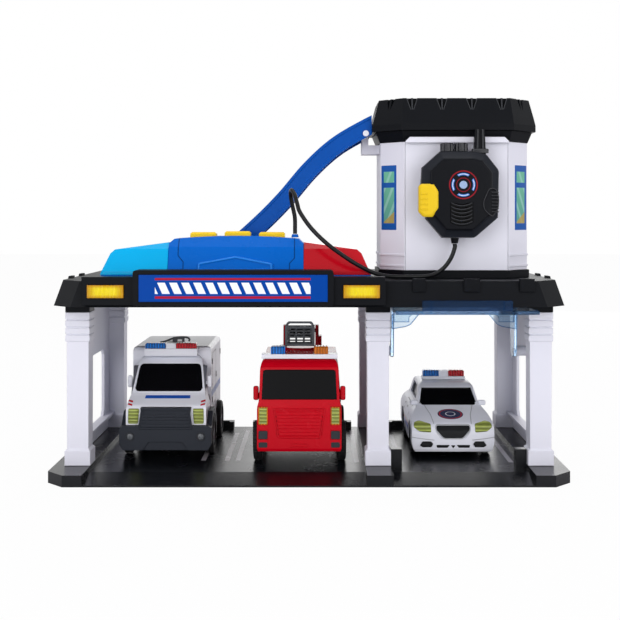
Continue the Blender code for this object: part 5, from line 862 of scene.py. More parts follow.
def pair(corners, middle):
    """An outline measured from a middle plane, and its twin on the other side of that plane."""
    return [[(middle + across, up) for across, up in corners],
            [(middle - across, up) for across, up in corners]]


def trapezium(middle, low, half_low, high, half_high):
    """Outline that is level at its foot and its top, with half its width given for each."""
    return [(middle - half_low, low), (middle + half_low, low),
            (middle + half_high, high), (middle - half_high, high)]


def rounded(outlines, radius, inset, steps):
    """Several outlines with their corners rounded."""
    return [ring(outline, radius, inset, steps) for outline in outlines]


print("a trapezium is", trapezium(0, 0, 2, 1, 1))

# %% [markdown]
# Elsewhere the surest guide is the solid's own skin. The next function looks straight at a solid from one
# side, and gives the depth of whatever it meets first. It tests every triangle at once, so a stripe, a door
# seam or a lamp can be draped on any side of any solid.

# %% Skin of a solid
def skin(node, facing):
    """Side of a solid, whose depth at a point is that of the outermost triangle that covers the point.

    The point's shares of a triangle's second and third corner are cross products over that of the triangle's
    own edges, and it is covered where both shares are positive and their sum is below one. A point that no
    triangle covers gets the median depth of the others.
    """
    u, v, out, sign = FACINGS[facing]
    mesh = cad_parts[node].data
    mesh.calc_loop_triangles()
    places = np.empty(3 * len(mesh.vertices), np.float32)
    mesh.vertices.foreach_get("co", places)
    corners = np.empty(3 * len(mesh.loop_triangles), np.int32)
    mesh.loop_triangles.foreach_get("vertices", corners)
    a, b, c = np.moveaxis(places.reshape(-1, 3).astype(float)[corners.reshape(-1, 3)], 1, 0)
    cross = (b - a)[:, u] * (c - a)[:, v] - (c - a)[:, u] * (b - a)[:, v]
    a, b, c, cross = (part[np.abs(cross) > 1e-11] for part in (a, b, c, cross))

    def depth(across, up):
        p, q = np.asarray(across)[:, None] - a[:, u], np.asarray(up)[:, None] - a[:, v]
        second = (p * (c - a)[:, v] - (c - a)[:, u] * q) / cross
        third = ((b - a)[:, u] * q - p * (b - a)[:, v]) / cross
        covers = (second > -1e-6) & (third > -1e-6) & (second + third < 1 + 1e-6)
        level = np.where(covers, sign * (a[:, out] + second * (b - a)[:, out] + third * (c - a)[:, out]),
                         -np.inf)
        best = level.max(1)
        return sign * np.where(np.isfinite(best), best, np.median(best[np.isfinite(best)]))

    return facing, depth


def flanks(node):
    """Left and right side of a solid."""
    return [skin(node, "left"), skin(node, "right")]


battery_back = skin("battery_door", "back")
print("battery door's back at y", battery_back[1]([-0.068], [0.2024]).round(4))

# %% [markdown]
# The vehicles' fronts need no search. Each is described by where its nose stands, how long and high the shell
# is, and how far the nose leans back at each height, as shares of the length and the height.

# %% Vehicle surfaces
vehicles = {
    "ambulance": {"x": -0.140714, "y": -0.03265, "z": 0.015, "length": 0.052, "height": 0.0885,
                  "nose": ((0, 0), (0, 0.44), (0.04, 0.5), (0.36, 0.61), (0.7, 0.94), (0.84, 1))},
    "engine": {"x": -0.009564, "y": -0.06575, "z": 0.0212, "length": 0.147, "height": 0.0866,
               "nose": ((0, 0), (0, 0.5), (0.012, 0.56), (0.045, 0.92), (0.085, 1))},
    "police": {"x": 0.14115, "y": -0.02875, "z": 0.0125, "length": 0.143, "height": 0.0598,
               "nose": ((0.01, 0), (0, 0.12), (0, 0.36), (0.03, 0.46), (0.28, 0.66), (0.43, 0.95), (0.5, 1))},
}
ambulance_x, engine_x, police_x = (car["x"] for car in vehicles.values())


def front_of(car):
    """Front side of a vehicle: its depth follows straight lines between the nose points."""
    part, height = np.array(car["nose"]).T

    def depth(across, up):
        return car["y"] + car["length"] * np.interp((up - car["z"]) / car["height"], height, part)

    return "front", depth


def level_face(y):
    """Front side that is flat and upright."""
    return "front", lambda across, up: 0 * across + y


ambulance_nose, engine_nose, police_nose = (front_of(car) for car in vehicles.values())
print("noses 50 mm up at y", [front_of(car)[1](0, 0.05).round(4) for car in vehicles.values()])

# %% [markdown]
# A toy's wheel is a rubbery tyre pressed on a shiny hub. Both are turned shapes with a pattern round them:
# the tyre's radius dips between its tread blocks, and the hub is a dish with raised spokes. So each is a
# grid in angle and in profile, with a height that depends on both.

# %% Tyres and hubs
def wheel_grid(centre, reach, out, turn):
    """Grid round an axle: x runs out along it, y and z are the reach times the angle's cosine and sine."""
    around = np.stack([out + 0 * turn, reach * np.cos(turn), reach * np.sin(turn)], -1)
    return around + np.asarray(centre)


def tyre(centre, radius, inner, width, side):
    """Tyre: profile with round shoulders, and a tread whose radius dips between two blocks."""
    blocks, dip = 30, 0.0005
    turn = np.linspace(0, 2 * np.pi, 180, endpoint=False)
    profile = np.array([(inner, 0.1), (inner + 0.0008, 0.0), (radius - 0.0035, 0.0), (radius - 0.0012, 0.04),
                        (radius - 0.0003, 0.12), (radius, 0.2), (radius, 0.44), (radius - 0.0006, 0.455),
                        (radius - 0.0006, 0.545), (radius, 0.56), (radius, 0.8), (radius - 0.0003, 0.88),
                        (radius - 0.0012, 0.96), (radius - 0.0035, 1.0), (inner + 0.0008, 1.0), (inner, 0.9)])
    worn = np.interp(profile[:, 0], [radius - 0.0013, radius - 0.0002], [0, 1])[:, None]
    gap = (np.abs(((turn * blocks / (2 * np.pi)) % 1) - 0.5) > 0.36)[None, :]
    reach = profile[:, :1] - dip * worn * gap
    grid = wheel_grid(centre, reach, side * (profile[:, 1:] - 1) * width, turn)
    return shell(np.concatenate([grid, grid[:1]]), caps=False)


def hub(centre, radius, width, side, spokes):
    """Hub: dish with spokes where the cosine of the angle times their number is high.

    The size of a ring goes from 1 at the rim to nearly 0 at the axle. The dish lies between 0.93 and 0.22.
    """
    deep = 0.0018
    turn = np.linspace(0, 2 * np.pi, 120, endpoint=False)[None, :]
    size = np.linspace(1, 0.02, 26)[:, None]
    dish = -deep * np.clip((0.93 - size) / 0.1, 0, 1) * np.clip((size - 0.22) / 0.06, 0, 1)
    spoke = np.clip((np.cos(spokes * turn) - 0.15) / 0.25, 0, 1) * (size < 0.95)
    lip = -0.0004 * np.clip((size - 0.96) / 0.04, 0, 1)
    height = dish * (1 - 0.75 * spoke) + lip
    out = np.vstack([np.full_like(turn, -0.8 * width), height])
    return shell(wheel_grid(centre, np.vstack([size[:1], size]) * radius, side * out, turn))


print("a hub has", len(hub((0, 0, 0), 0.01, 0.008, 1, 5)[1]), "faces")

# %% [markdown]
# Each vehicle has two wheelsets that turn on their own axles. The tyres replace the solid wheels, and the
# hubs carry a thin axle between them. The police car's smaller wheels have five spokes, the others six.

# %% Wheelsets
wheel_width, hub_width, hub_sink, axle_radius = 0.009, 0.007, 0.0012, 0.0019
tyre_share, hub_share = 0.64, 0.66       # of a wheel's radius: the tyre's inner one and the hub's
wheelsets = {                            # y of both axles, z, radius, track, spokes
    "ambulance": ((-0.00265, 0.08035), 0.0263, 0.019, 0.09, 6),
    "engine": ((-0.03275, 0.05025), 0.0263, 0.019, 0.09, 6),
    "police": ((0.00025, 0.08225), 0.0223, 0.015, 0.08, 5),
}
for car, (places, z, radius, track, spokes) in wheelsets.items():
    for end, y in zip(("front", "rear"), places):
        x = vehicles[car]["x"]
        rubber, rims = [], []
        for side in (-1, 1):
            face = x + side * track / 2
            rubber.append(tyre((face, y, z), radius, radius * tyre_share, wheel_width, side))
            rims.append(hub((face - side * hub_sink, y, z), radius * hub_share, hub_width, side, spokes))
        reach = track / 2 - wheel_width / 2
        rims.append(spun([(axle_radius, -reach), (axle_radius, reach)], (x, y, z), 0, 24))
        body = f"{car}_{end}_axle"
        piece(f"{car}_{end}_tyres", rubber, body, "tyre", replaces=(f"{car}_{end}_wheels",))
        piece(f"{car}_{end}_hubs", rims, body, "hub")

# %% [markdown]
# The slide is one bent channel: a thin floor between two side walls, each with a rail at its top and its
# bottom. Its section is a single closed outline, and every point of it follows its own line up the slide,
# at its own height above the lower edge. All lines stop in one upright plane, just short of the roof.

# %% Slide
slide_end, slide_run, slide_low, slide_rise = 0.0606, 0.185, 0.1863, 0.1383
slide_half, slide_wall, slide_tall, tower_y = 0.028, 0.0018, 0.017, -0.00975
slide_shares = np.array([(0, 0), (0.1, 0.004), (0.27, 0.13), (0.434, 0.316), (0.575, 0.506), (0.708, 0.714),
                         (0.843, 0.877), (1, 1), (1.08, 1.048)])


def slide_heights(s):
    """Heights of the section's points above the lower edge, where the floor rises over the first stretch."""
    floor = 0.008 * np.clip(s / 0.22, 0, 1) + 0.0001
    outer = (0, 0.0026, 0.0032, 0.0138, 0.0144, 0.0166, slide_tall, slide_tall, 0.0166)
    right = [0 * s + height for height in outer] + [floor + 0.0034, floor + 0.0024]
    under = [0 * s, floor - 0.0001, floor, floor, floor - 0.0001, 0 * s]
    return np.stack(right + right[::-1] + under, -1)


def slide_channel(steps=140):
    """Place = line(s) + upright(s) times the point's height, from s = 0 to where x meets the end plane."""
    line = smooth_line(slide_shares * (slide_run, slide_rise) + (slide_end - slide_run, slide_low), 12)
    line[:, 1] = np.maximum(line[:, 1], slide_low)
    share = np.linspace(0, 1, len(line))
    way = np.gradient(line, axis=0)
    way /= np.linalg.norm(way, axis=1, keepdims=True)

    def at(s, height):
        x, z, dx, dz = (np.interp(s, share, part) for part in (*line.T, *way.T))
        return x - dz * height, z + dx * height

    rail, inner = slide_half - 0.0006, slide_half - slide_wall
    right = [slide_half, slide_half, rail, rail, slide_half, slide_half, slide_half - 0.0004, inner + 0.0004,
             inner, inner, inner - 0.001]
    under = [-inner, -inner, -inner + 0.001, inner - 0.001, inner, inner]
    across = np.array(right + [-place for place in right[::-1]] + under)
    dense = np.linspace(0, 1, 800)
    reach = at(dense[:, None], slide_heights(dense))[0]
    stop = np.array([np.interp(slide_end, reach[:, k], dense) for k in range(reach.shape[1])])
    s = np.linspace(0, 1, steps)[:, None] * stop
    tall = np.stack([slide_heights(s[:, k])[:, k] for k in range(s.shape[1])], -1)
    x, z = at(s, tall)
    grid = np.stack([x, tower_y + np.broadcast_to(across, x.shape), np.maximum(z, slide_low)], -1)
    return shell(grid)


piece("slide_channel", [slide_channel()], "station", "slide", replaces=("slide",))

# %% [markdown]
# The ambulance's nose is one grey moulding: bumper, grille and wheel arches. On it sit round fog lamps and
# two square lamp frames. The glass is one dark convex shield, larger than the hole behind it, as on the toy.

# %% Ambulance front
bumper_face = level_face(-0.03715)
trim("ambulance_windscreen", "ambulance", "glass", [trapezium(ambulance_x, 0.0705, 0.0335, 0.096, 0.0305)],
     ambulance_nose, rows=GLASS, radius=0.004, rings=12)
lens = [(0.0270825, 0.04155), (0.0372875, 0.04155), (0.0372875, 0.0570375), (0.025905, 0.0570375)]
trim("ambulance_headlamps", "ambulance", "headlamp", rounded(pair(lens, ambulance_x), 0.0015, 0.0004, 2),
     ambulance_nose, radius=0.0004, crown=0.0006)
grille_edge = rim(trapezium(ambulance_x, 0.0372, 0.0268, 0.058, 0.0235), bumper_face, 0.002, 0.0018, 0.0009)
small_frames = pair(box_corners(0.0105, 0.0185, 0.046, 0.0525), ambulance_x)
trim("ambulance_grille_frames", "ambulance", "bumper", small_frames, bumper_face, rim, [grille_edge],
     radius=0.0008, width=0.0012, height=0.0007)
fog_places = [(ambulance_x + side * 0.0345, 0.0302) for side in (-1, 1)]
trim("ambulance_fog_lamps", "ambulance", "fog", [circle(0.003, 20) + place for place in fog_places],
     bumper_face, radius=0.0002, crown=0.0006, steps=1)
trim("ambulance_fog_rings", "ambulance", "trim", [circle(0.0042, 20) + place for place in fog_places],
     bumper_face, rim, radius=0.0002, width=0.0011, height=0.0009)

# %% [markdown]
# Mirrors stand out from the doors on a short arm. Each is a small rounded block, thicker in its middle.

# %% Mirrors
def mirror(x, y, z, half_width, half_height, side, arm):
    """Rounded block whose outline shrinks at both its faces, and an arm from it to the door."""
    outline = box_corners(x - half_width, x + half_width, z - half_height, z + half_height)
    rows = [(0.0008, -0.0018), (0.0002, -0.0012), (0, -0.0004), (0, 0.0006), (0.0003, 0.0014),
            (0.001, 0.0019)]
    block = plate(outline, 0.0022, rows, "front", y, 6)
    bar = box_corners(x - side * arm, x, z - half_height * 0.5, z + half_height * 0.1)
    return [block, plate(sorted(bar) if side < 0 else bar, 0.0006, [(0, -0.001), (0, 0.0006)], "front", y, 3)]


for car, body, finish, out, y, z, half_width, half_height, arm in (
        ("ambulance", "ambulance", "vehicle_white", 0.04, -0.0035, 0.079, 0.0024, 0.006, 0.006),
        ("engine", "fire_engine", "vehicle_red", 0.0415, -0.056, 0.076, 0.0026, 0.0068, 0.006),
        ("police", "police_car", "vehicle_white", 0.0345, 0.015, 0.0545, 0.004, 0.0026, 0.008)):
    middle = vehicles[car]["x"]
    left, right = (mirror(middle + side * out, y, z, half_width, half_height, side, arm) for side in (-1, 1))
    piece(f"{car}_mirrors", left + right, body, finish)

# %% [markdown]
# The fire engine's face has a tall windscreen, lamps with an amber edge, a framed red grille and two black
# fog lamps on each side.

# %% Fire engine front
windscreen = trapezium(engine_x, 0.070995, 0.035689, 0.098707, 0.034486)
trim("engine_windscreen", "fire_engine", "glass", [windscreen], engine_nose, rows=GLASS, radius=0.003,
     rings=12)
lenses = pair(box_corners(0.030075, 0.038496, 0.047613, 0.064067), engine_x)
trim("engine_headlamps", "fire_engine", "headlamp", lenses, engine_nose, radius=0.001, crown=0.0006)
trim("engine_headlamp_frames", "fire_engine", "lamp_amber", rounded(lenses, 0.0012, -0.0003, 3), engine_nose,
     rim, radius=0.0004, width=0.0011, height=0.0008)
upper = pair(box_corners(0.0302, 0.0385, 0.0338, 0.0415), engine_x)
lower = pair(box_corners(0.0302, 0.0385, 0.0258, 0.0308), engine_x)
trim("engine_fog_lamps", "fire_engine", "trim", upper + lower, engine_nose, radius=0.0012)
ribs = [draped(trapezium(engine_x, low, half, low + 0.0009, half), engine_nose,
               ((0, -0.0005), (0, 0.0004), (0.0002, 0.0006)), 0.0003, rings=2)
        for half, low in ((0.0075, 0.0292), (0.0085, 0.0262))]
trim("engine_grille_frame", "fire_engine", "vehicle_red", [trapezium(engine_x, 0.0345, 0.0205, 0.063, 0.025)],
     engine_nose, rim, ribs, radius=0.002, width=0.0014, height=0.0008)

# %% [markdown]
# The police car's face is the fullest: lamps that wrap round the wings, a dark mesh grille, four intakes
# and a small wedge between them. On its bonnet lies a plain oval ring, as five films on top of each other.

# %% Police car front
trim("police_windscreen", "police_car", "glass", [trapezium(police_x, 0.0523, 0.0283, 0.0668, 0.0245)],
     police_nose, rows=GLASS, radius=0.003, rings=12)
lamp = [(0.0217, 0.0327), (0.0329, 0.0335), (0.0385, 0.0372), (0.038, 0.0412), (0.0329, 0.0424),
        (0.0217, 0.0402)]
trim("police_headlamps", "police_car", "headlamp", pair(lamp, police_x), police_nose, radius=0.0012, rings=14,
     crown=0.0004)
grille = [(-0.0164, 0.039), (-0.0168, 0.0352), (-0.0092, 0.0268),
          (0.0092, 0.0268), (0.0168, 0.0352), (0.0164, 0.039)]
grille = [(police_x + across, up) for across, up in grille]
outer_intake = [(0.0196, 0.0215), (0.0215, 0.018), (0.03, 0.018), (0.0329, 0.02), (0.03, 0.0237),
                (0.022, 0.0237)]
inner_intake = [(0.0035, 0.0203), (0.0055, 0.0175), (0.016, 0.0175), (0.0165, 0.0203)]
wedge = [(police_x - 0.0022, 0.02), (police_x, 0.0168), (police_x + 0.0022, 0.02)]
dark_parts = [grille, *pair(outer_intake, police_x), *pair(inner_intake, police_x), wedge]
trim("police_grille_and_intakes", "police_car", "mesh", dark_parts, police_nose,
     rows=((0, -0.0005), (0, 0.0002), (0.0002, 0.0003)))
trim("police_grille_frame", "police_car", "silver", rounded([grille], 0.0018, -0.0008, 4), police_nose, rim,
     radius=0.0003, width=0.001, height=0.0007)


def bonnet_height(across, along):
    """Height of the bonnet at a depth: a straight slope between two nose points, and level across."""
    car = vehicles["police"]
    share = (along - car["y"]) / car["length"]
    return car["z"] + car["height"] * np.interp(share, (0.03, 0.28), (0.46, 0.66))


ring_films = [("film_dark", 1.0, 0.00008), ("film_red", 0.9, 0.00014), ("film_dark", 0.82, 0.0002),
              ("film_white", 0.4, 0.00026), ("film_dark", 0.33, 0.00032)]      # finish, size, lift
for finish, size, lift in ring_films:
    oval = circle(size, 48) * (0.0128, 0.0098) + (police_x, -0.0055)
    trim(f"bonnet_ring_{round(size * 100)}", "police_car", finish, [oval], ("top", bonnet_height),
         rows=film(lift), radius=0.0001, steps=1)

# %% [markdown]
# The tower's corner faces carry printed windows: a blue frame, two green panes and a few pale streaks. The
# plate is set on the slanted face by two directions, one along the face and one up.

# %% Tower windows
tower_x, corner_out = 0.1398, 0.0633     # middle of the tower, and of its corner faces beside it


def window_print(name, side):
    """Blue frame round green panes with streaks, by height and by the distance along the slanted face."""
    frame_half, slope = 0.0066, 1.414
    recipe = moulded(name, (0.006, 0.085, 0.36), 0.32, 0.000002, 0.001, 0.0001, 0.03, 0.2)
    x, _, z = recipe.axes()
    across = (x - (tower_x + side * corner_out)) * (slope * side)
    inside = across.within(-frame_half, frame_half)
    upper, lower = z.within(0.2774, 0.2879) * inside, z.within(0.2383, 0.2725) * inside
    green = recipe.mix((z - 0.238) * 25, (0.1, 0.33, 0.27, 1), (0.14, 0.45, 0.3, 1))
    streak = ((across * 0.9 + z * 0.45) / 0.0088).math("FRACT").within(0.3, 0.62, 0.05)
    green = recipe.mix(streak * 0.55, green, (0.35, 0.62, 0.55, 1))
    low_corner = (z * 0.8 - across * side * 0.6).within(0.1, 0.1955) * lower
    green = recipe.mix(low_corner * 0.8, green, (0.46, 0.3, 0.05, 1))
    return recipe.set("Base Color", recipe.mix(upper + lower, recipe.colour, green))


def slanted_plate(side):
    """Film on the corner face: middle + along times across + upright times up + normal times lift."""
    middle = np.array([tower_x + side * corner_out, -0.05025, 0.2629])
    along, up = np.array([0.7071, side * 0.7071, 0]), np.array([0, 0, 1])
    out = np.array([side * 0.7071, -0.7071, 0])
    corners = box_corners(-0.0095, 0.0095, -0.031, 0.031)
    grid = []
    for inset, lift in ((0, -0.0004), (0, 0.00016), (0.0002, 0.0002)):
        flat = ring(corners, 0.0008, inset)
        grid.append(middle + flat[:, :1] * along + flat[:, 1:] * up + out * lift)
    return shell(np.stack(grid))


for side, name in ((-1, "left"), (1, "right")):
    finishes[f"window_{name}"] = window_print(f"window print {name}", side)
    piece(f"tower_window_{name}", [slanted_plate(side)], "station", f"window_{name}")

# %% [markdown]
# The handset's face is not flat: a wide bevel runs round it and the middle stands up. Rings that shrink from
# the outline to the middle make it, each at its own height. The speaker's hollow is pressed in with painted
# shade, the bevel's slope gets a painted highlight, and the round badge of plain rings and arcs is printed,
# all by place.

# %% Handset face
handset_x, handset_z, handset_seam_y = 0.1402, 0.2249, -0.0832
speaker_x, speaker_low, speaker_bend = 0.1408, 0.2374, 28
badge_x, badge_z = 0.1423, 0.274
handset_outline = np.array(((-0.229, 0), (0.187, 0), (0.487, 0.232), (0.5, 0.781), (0.334, 0.968), (0.162, 1),
                            (-0.254, 1), (-0.487, 0.814), (-0.5, 0.627), (-0.438, 0.219)))
handset_outline = handset_outline * (0.0722, 0.0805) + (handset_x, handset_z)


def handset_face(rings=70, columns=24):
    """Face of rings from the seam to the middle: a wall, a bevel 6 mm wide, a steep step, a flat middle.

    A point's height depends on its distance from the edge alone.
    """
    rows = [(0.0, 0.0), (0.0, 0.0024), (0.0006, 0.0038), (0.0062, 0.0066), (0.007, 0.0078), (0.0078, 0.0094),
            (0.0085, 0.0097)]
    outlines = [(ring(handset_outline, 0.003, inset, columns), height) for inset, height in rows]
    last, top = outlines[-1]
    middle = last.mean(0)
    outlines += [(middle + (last - middle) * size, top) for size in np.linspace(1, 0.01, rings)[1:]]
    grid = [np.insert(outline, 1, handset_seam_y - height, axis=1) for outline, height in outlines]
    return shell(np.stack(grid))


def handset_print():
    """Face black with the speaker's curved hollow in painted shade, a painted highlight on the bevel's slope,
    and a round badge of plain rings and arcs.
    """
    recipe = moulded("handset face black", HANDSET_BLACK, 0.3, 0.00003, 0.0004, 0.0004, shine=0.09)
    x, y, z = recipe.axes()
    front = 1 - y.over(-0.092, 0.0004)
    curved = z - speaker_low - (x - speaker_x) * (x - speaker_x) * speaker_bend
    hollow = curved.within(-0.0012, 0.0172, 0.0004) * (1 - abs(x - speaker_x).over(0.0104, 0.0004)) * front
    # painted shade: the speaker's hollow is darkened to 0.15 of the face colour
    recipe.groove(hollow, 0.001, 0.15)
    a, b = abs(x - badge_x), abs(z - badge_z)
    reach, corner = (a * a + b * b).math("SQRT"), abs(a - b)
    # painted highlight: the bevel's slope, between two depths, is coloured lighter than the face black
    bevel = y.within(-0.0912, -0.0862, 0.0006)
    arcs = reach.within(0.0088, 0.011) * corner.over(0.0034) * front
    arc_hearts = reach.within(0.0096, 0.0103) * corner.over(0.0042) * front
    rings = (reach.within(0.0122, 0.0133) + reach.within(0.006, 0.0066)) * front
    dot = (1 - reach.over(0.0036)) * front
    for mask, colour in ((bevel, (0.013, 0.015, 0.02, 1)), (arcs, (0.05, 0.18, 0.55, 1)),
                         (arc_hearts, (0.62, 0.7, 0.8, 1)), (rings, (0.26, 0.008, 0.016, 1)),
                         (dot, (0.3, 0.42, 0.62, 1))):
        recipe.colour = recipe.mix(mask, recipe.colour, colour)
    return recipe.set("Base Color", recipe.colour)


finishes["handset_face"] = handset_print()
piece("handset_face", [handset_face()], "handset", "handset_face", crease=40,
              replaces=("handset_front_shell",))

# %% [markdown]
# The speaker's hollow has six curved slats, and the grip on the right is an edged panel with seven ridges
# for the fingers. The face falls away under the grip, so its depth there is a line between three places.

# %% Speaker slats and grip
slat_half, slat_width, slat_pitch = 0.0098, 0.0014, 0.0034


def slat(step):
    """Curved bar of the speaker grille: two parabolas, one bar apart, joined at both ends."""
    across = np.linspace(-slat_half, slat_half, 9)
    low = 0.237 + speaker_bend * across ** 2 + step * slat_pitch
    foot = np.stack([speaker_x + across, low], 1)
    top = np.stack([speaker_x + across, low + slat_width], 1)
    return np.vstack([foot, top[::-1]])


trim("handset_speaker_slats", "handset", "slat", [slat(step) for step in range(6)], level_face(-0.0929),
     rows=((0, -0.0006), (0, 0.0003), (0.0002, 0.0006)), radius=0.0005, rings=2)
grip = [(0.1603, 0.2581), (0.1659, 0.271), (0.1723, 0.271), (0.1757, 0.2655), (0.1757, 0.2526),
        (0.169, 0.244), (0.1612, 0.2507)]
grip_face = "front", lambda across, up: np.interp(across, (0.16, 0.168, 0.1757), (-0.0929, -0.0928, -0.0872))
trim("handset_grip", "handset", "handset", [grip], grip_face, radius=0.003, rings=12,
     rows=((0, -0.0004), (0, 0.0006), (0.0006, 0.0009), (0.001, 0.0009), (0.0014, 0.0005)))
grip_edge = rim(ring(grip, 0.0028, -0.0002, 4), grip_face, 0.0004, 0.0009, 0.0012)
trim("handset_grip_ridges", "handset", "knob",
     [box_corners(0.168, 0.1757, low, low + 0.0013) for low in np.linspace(0.2485, 0.2665, 7)], grip_face,
     more=[grip_edge], rows=((0, 0.0004), (0, 0.0012), (0.0003, 0.0016)), radius=0.0005, rings=4)

# %% [markdown]
# On the handset's top stand two fluted volume knobs and the aerial's collar. A knob is a turned shape whose
# radius also waves with the angle: ten ridges for the fingers.

# %% Knobs and aerial
knob_y, knob_low, knob_high = -0.0792, 0.3056, 0.3132
aerial_x = handset_x + 0.0191


def fluted_knob(x, radius=0.0059, wave=0.0005):
    """Knob: radius + wave cos(10 angle), which fades to a plain rim at the chamfered top."""
    turn = np.linspace(0, 2 * np.pi, 160, endpoint=False)
    profile = np.array([(1, 1, knob_low), (1, 1, knob_high - 0.0009), (0.97, 0.6, knob_high - 0.0004),
                        (0.9, 0, knob_high), (0.45, 0, knob_high), (0.42, 0, knob_high - 0.0004)])
    reach = profile[:, :1] * radius + profile[:, 1:2] * wave * np.cos(10 * turn)
    grid = np.stack([x + reach * np.cos(turn), knob_y + reach * np.sin(turn),
                     np.broadcast_to(profile[:, 2:], reach.shape)], -1)
    return shell(grid)


def aerial_rib(side):
    """Upright rib on the aerial's front, a little narrower at its top."""
    foot, top = aerial_x + side * 0.0026, aerial_x + side * 0.0022
    outline = [(foot - 0.001, 0.3075), (foot + 0.001, 0.3075), (top + 0.0009, 0.3258), (top - 0.0009, 0.3258)]
    return plate(outline, 0.0008, [(0, -0.0012), (0, 0.0002), (0.0005, 0.0006)], "front", handset_seam_y)


piece("handset_knob_crowns", [fluted_knob(handset_x + 0.0016), fluted_knob(handset_x - 0.0114)], "handset",
      "knob")
collar = plate(box_corners(aerial_x - 0.0078, aerial_x + 0.0078, knob_y - 0.0058, knob_y + 0.0054), 0.002,
               [(0, -0.0012), (0, 0.0018), (0.0005, 0.0025), (0.0014, 0.0028)], "top", 0.3052)
piece("handset_aerial_collar", [collar, aerial_rib(-1), aerial_rib(1)], "handset", "knob")

# %% [markdown]
# The talk button is a chamfered yellow key with four ridges for the thumb.

# %% Talk button
key = [(0.1012, 0.2725), (0.1012, 0.249), (0.1058, 0.2443), (0.114, 0.2443), (0.1198, 0.2525),
       (0.1198, 0.268), (0.1155, 0.2749), (0.1035, 0.2749)]
key_face = level_face(-0.0833)
key_plate = draped(key, key_face, ((0, 0), (0, 0.0088), (0.0007, 0.0097), (0.0021, 0.0106), (0.0026, 0.0107)),
                   0.0012)
ridges = [draped(box_corners(0.103, 0.1092, low, low + 0.0016), key_face,
                 ((0, 0.01), (0, 0.0111), (0.0003, 0.0115)), 0.0007, rings=3)
          for low in (0.2505, 0.2553, 0.2601, 0.2649)]
piece("talk_key", [key_plate] + ridges, "talk_key", "talk_yellow", replaces=("talk_button",))

# %% [markdown]
# The vehicles' grilles are moulded in the colour of their nose: a plate with bars, inside the frame. The
# bars are what the eye reads, so each is a real bar with a rounded edge.

# %% Grilles
def bars(half_low, half_high, low, high, count, middle, side, lift, thick=0.0014):
    """Level bars between two heights, whose half length goes evenly from one value to another."""
    made = []
    rows = [(0, -0.0004), (0, lift), (thick * 0.25, lift + 0.0003)]
    for step in np.linspace(0, 1, count):
        z, half = low + (high - low) * step, half_low + (half_high - half_low) * step
        made.append(draped(box_corners(middle - half, middle + half, z - thick / 2, z + thick / 2), side,
                           rows, thick / 3, rings=2))
    return made


insert = ((0, -0.0008), (0, 0.0001))
trim("ambulance_grille", "ambulance", "bumper", [trapezium(ambulance_x, 0.0385, 0.0252, 0.057, 0.0225)],
     bumper_face, more=bars(0.024, 0.0215, 0.04, 0.056, 6, ambulance_x, bumper_face, 0.0003), rows=insert,
     radius=0.001)
trim("engine_grille", "fire_engine", "vehicle_red", [trapezium(engine_x, 0.0362, 0.019, 0.0618, 0.0225)],
     engine_nose, more=bars(0.0178, 0.0212, 0.0378, 0.0602, 8, engine_x, engine_nose, 0.0002), rows=insert,
     radius=0.001)

# %% [markdown]
# Small things finish the ambulance: a printed stripe under the windscreen, two slanted marks beside each
# lamp, and a thin lever that lies over the hook on its roof.

# %% Ambulance trim
trim("ambulance_stripe", "ambulance", "film_blue", [trapezium(ambulance_x, 0.0648, 0.0225, 0.0686, 0.0218)],
     ambulance_nose, rows=film(0.00012), radius=0.0002, rings=14)
mark = [(0.0335, 0.059), (0.038, 0.06), (0.0378, 0.0614), (0.0335, 0.0604)]
marks = [[(x, z + step) for x, z in outline] for step in (0, 0.0026) for outline in pair(mark, ambulance_x)]
trim("ambulance_marks", "ambulance", "film_red", marks, skin("ambulance_body", "front"), rows=film(0.00012),
     radius=0.0002, rings=4)
lever_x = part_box("ambulance_roof_hook")[0].x
lever_line = smooth_line([(lever_x - 0.0075, 0.03, 0.1142), (lever_x - 0.003, 0.031, 0.115),
                          (ambulance_x - 0.0015, 0.033, 0.1182), (ambulance_x + 0.005, 0.0335, 0.1192),
                          (ambulance_x + 0.012, 0.0335, 0.119), (ambulance_x + 0.015, 0.0335, 0.1172),
                          (ambulance_x + 0.0145, 0.0335, 0.115)], 10)
lever = swept(lever_line, circle(0.001, 12), (0.0, 1.0, 0.0))
lever_ring = circle(0.003, 20) + (lever_x - 0.0075, 0.03)
lever_foot = rim(lever_ring, skin("ambulance_body", "top"), 0.0002, 0.0011, 0.0014)
piece("ambulance_roof_lever", [lever, lever_foot], "ambulance", "hook")

# %% [markdown]
# The fire engine's roof has a toothed strip between its two lamps, and its ladder ends in a cage of thin
# bars: five level rails and four posts.

# %% Roof strip and ladder cage
strip_y = -0.05
strip = plate(box_corners(engine_x - 0.0132, engine_x + 0.0132, 0.1125, 0.114), 0.0004,
              [(0, -0.006), (0, 0.0003), (0.0002, 0.0005)], "front", strip_y, 2)
teeth = [plate(box_corners(engine_x + place - 0.0009, engine_x + place + 0.0009, 0.1126, 0.1158), 0.0004,
               [(0, -0.0008), (0, 0.0006), (0.0002, 0.0009)], "front", strip_y, 2)
         for place in np.linspace(-0.0115, 0.0115, 9)]
piece("engine_bar_teeth", teeth + [strip], "fire_engine", "dark_red")
posts = [draped(box_corners(engine_x + across - 0.001, engine_x + across + 0.001, 0.1205, 0.1355),
                level_face(-0.0193), BAR, 0.0005, rings=2) for across in (-0.011, -0.0038, 0.0038, 0.011)]
rails = [trapezium(engine_x, low, 0.0115, low + 0.0014, 0.0115) for low in np.linspace(0.1215, 0.1335, 5)]
trim("ladder_cage_bars", "engine_ladder", "ladder", rails, level_face(-0.0195), more=posts, rows=BAR,
     radius=0.0005, rings=2)

# %% [markdown]
# The white panel of the tower reaches up over the collar with cut corners. One thin plate continues it.

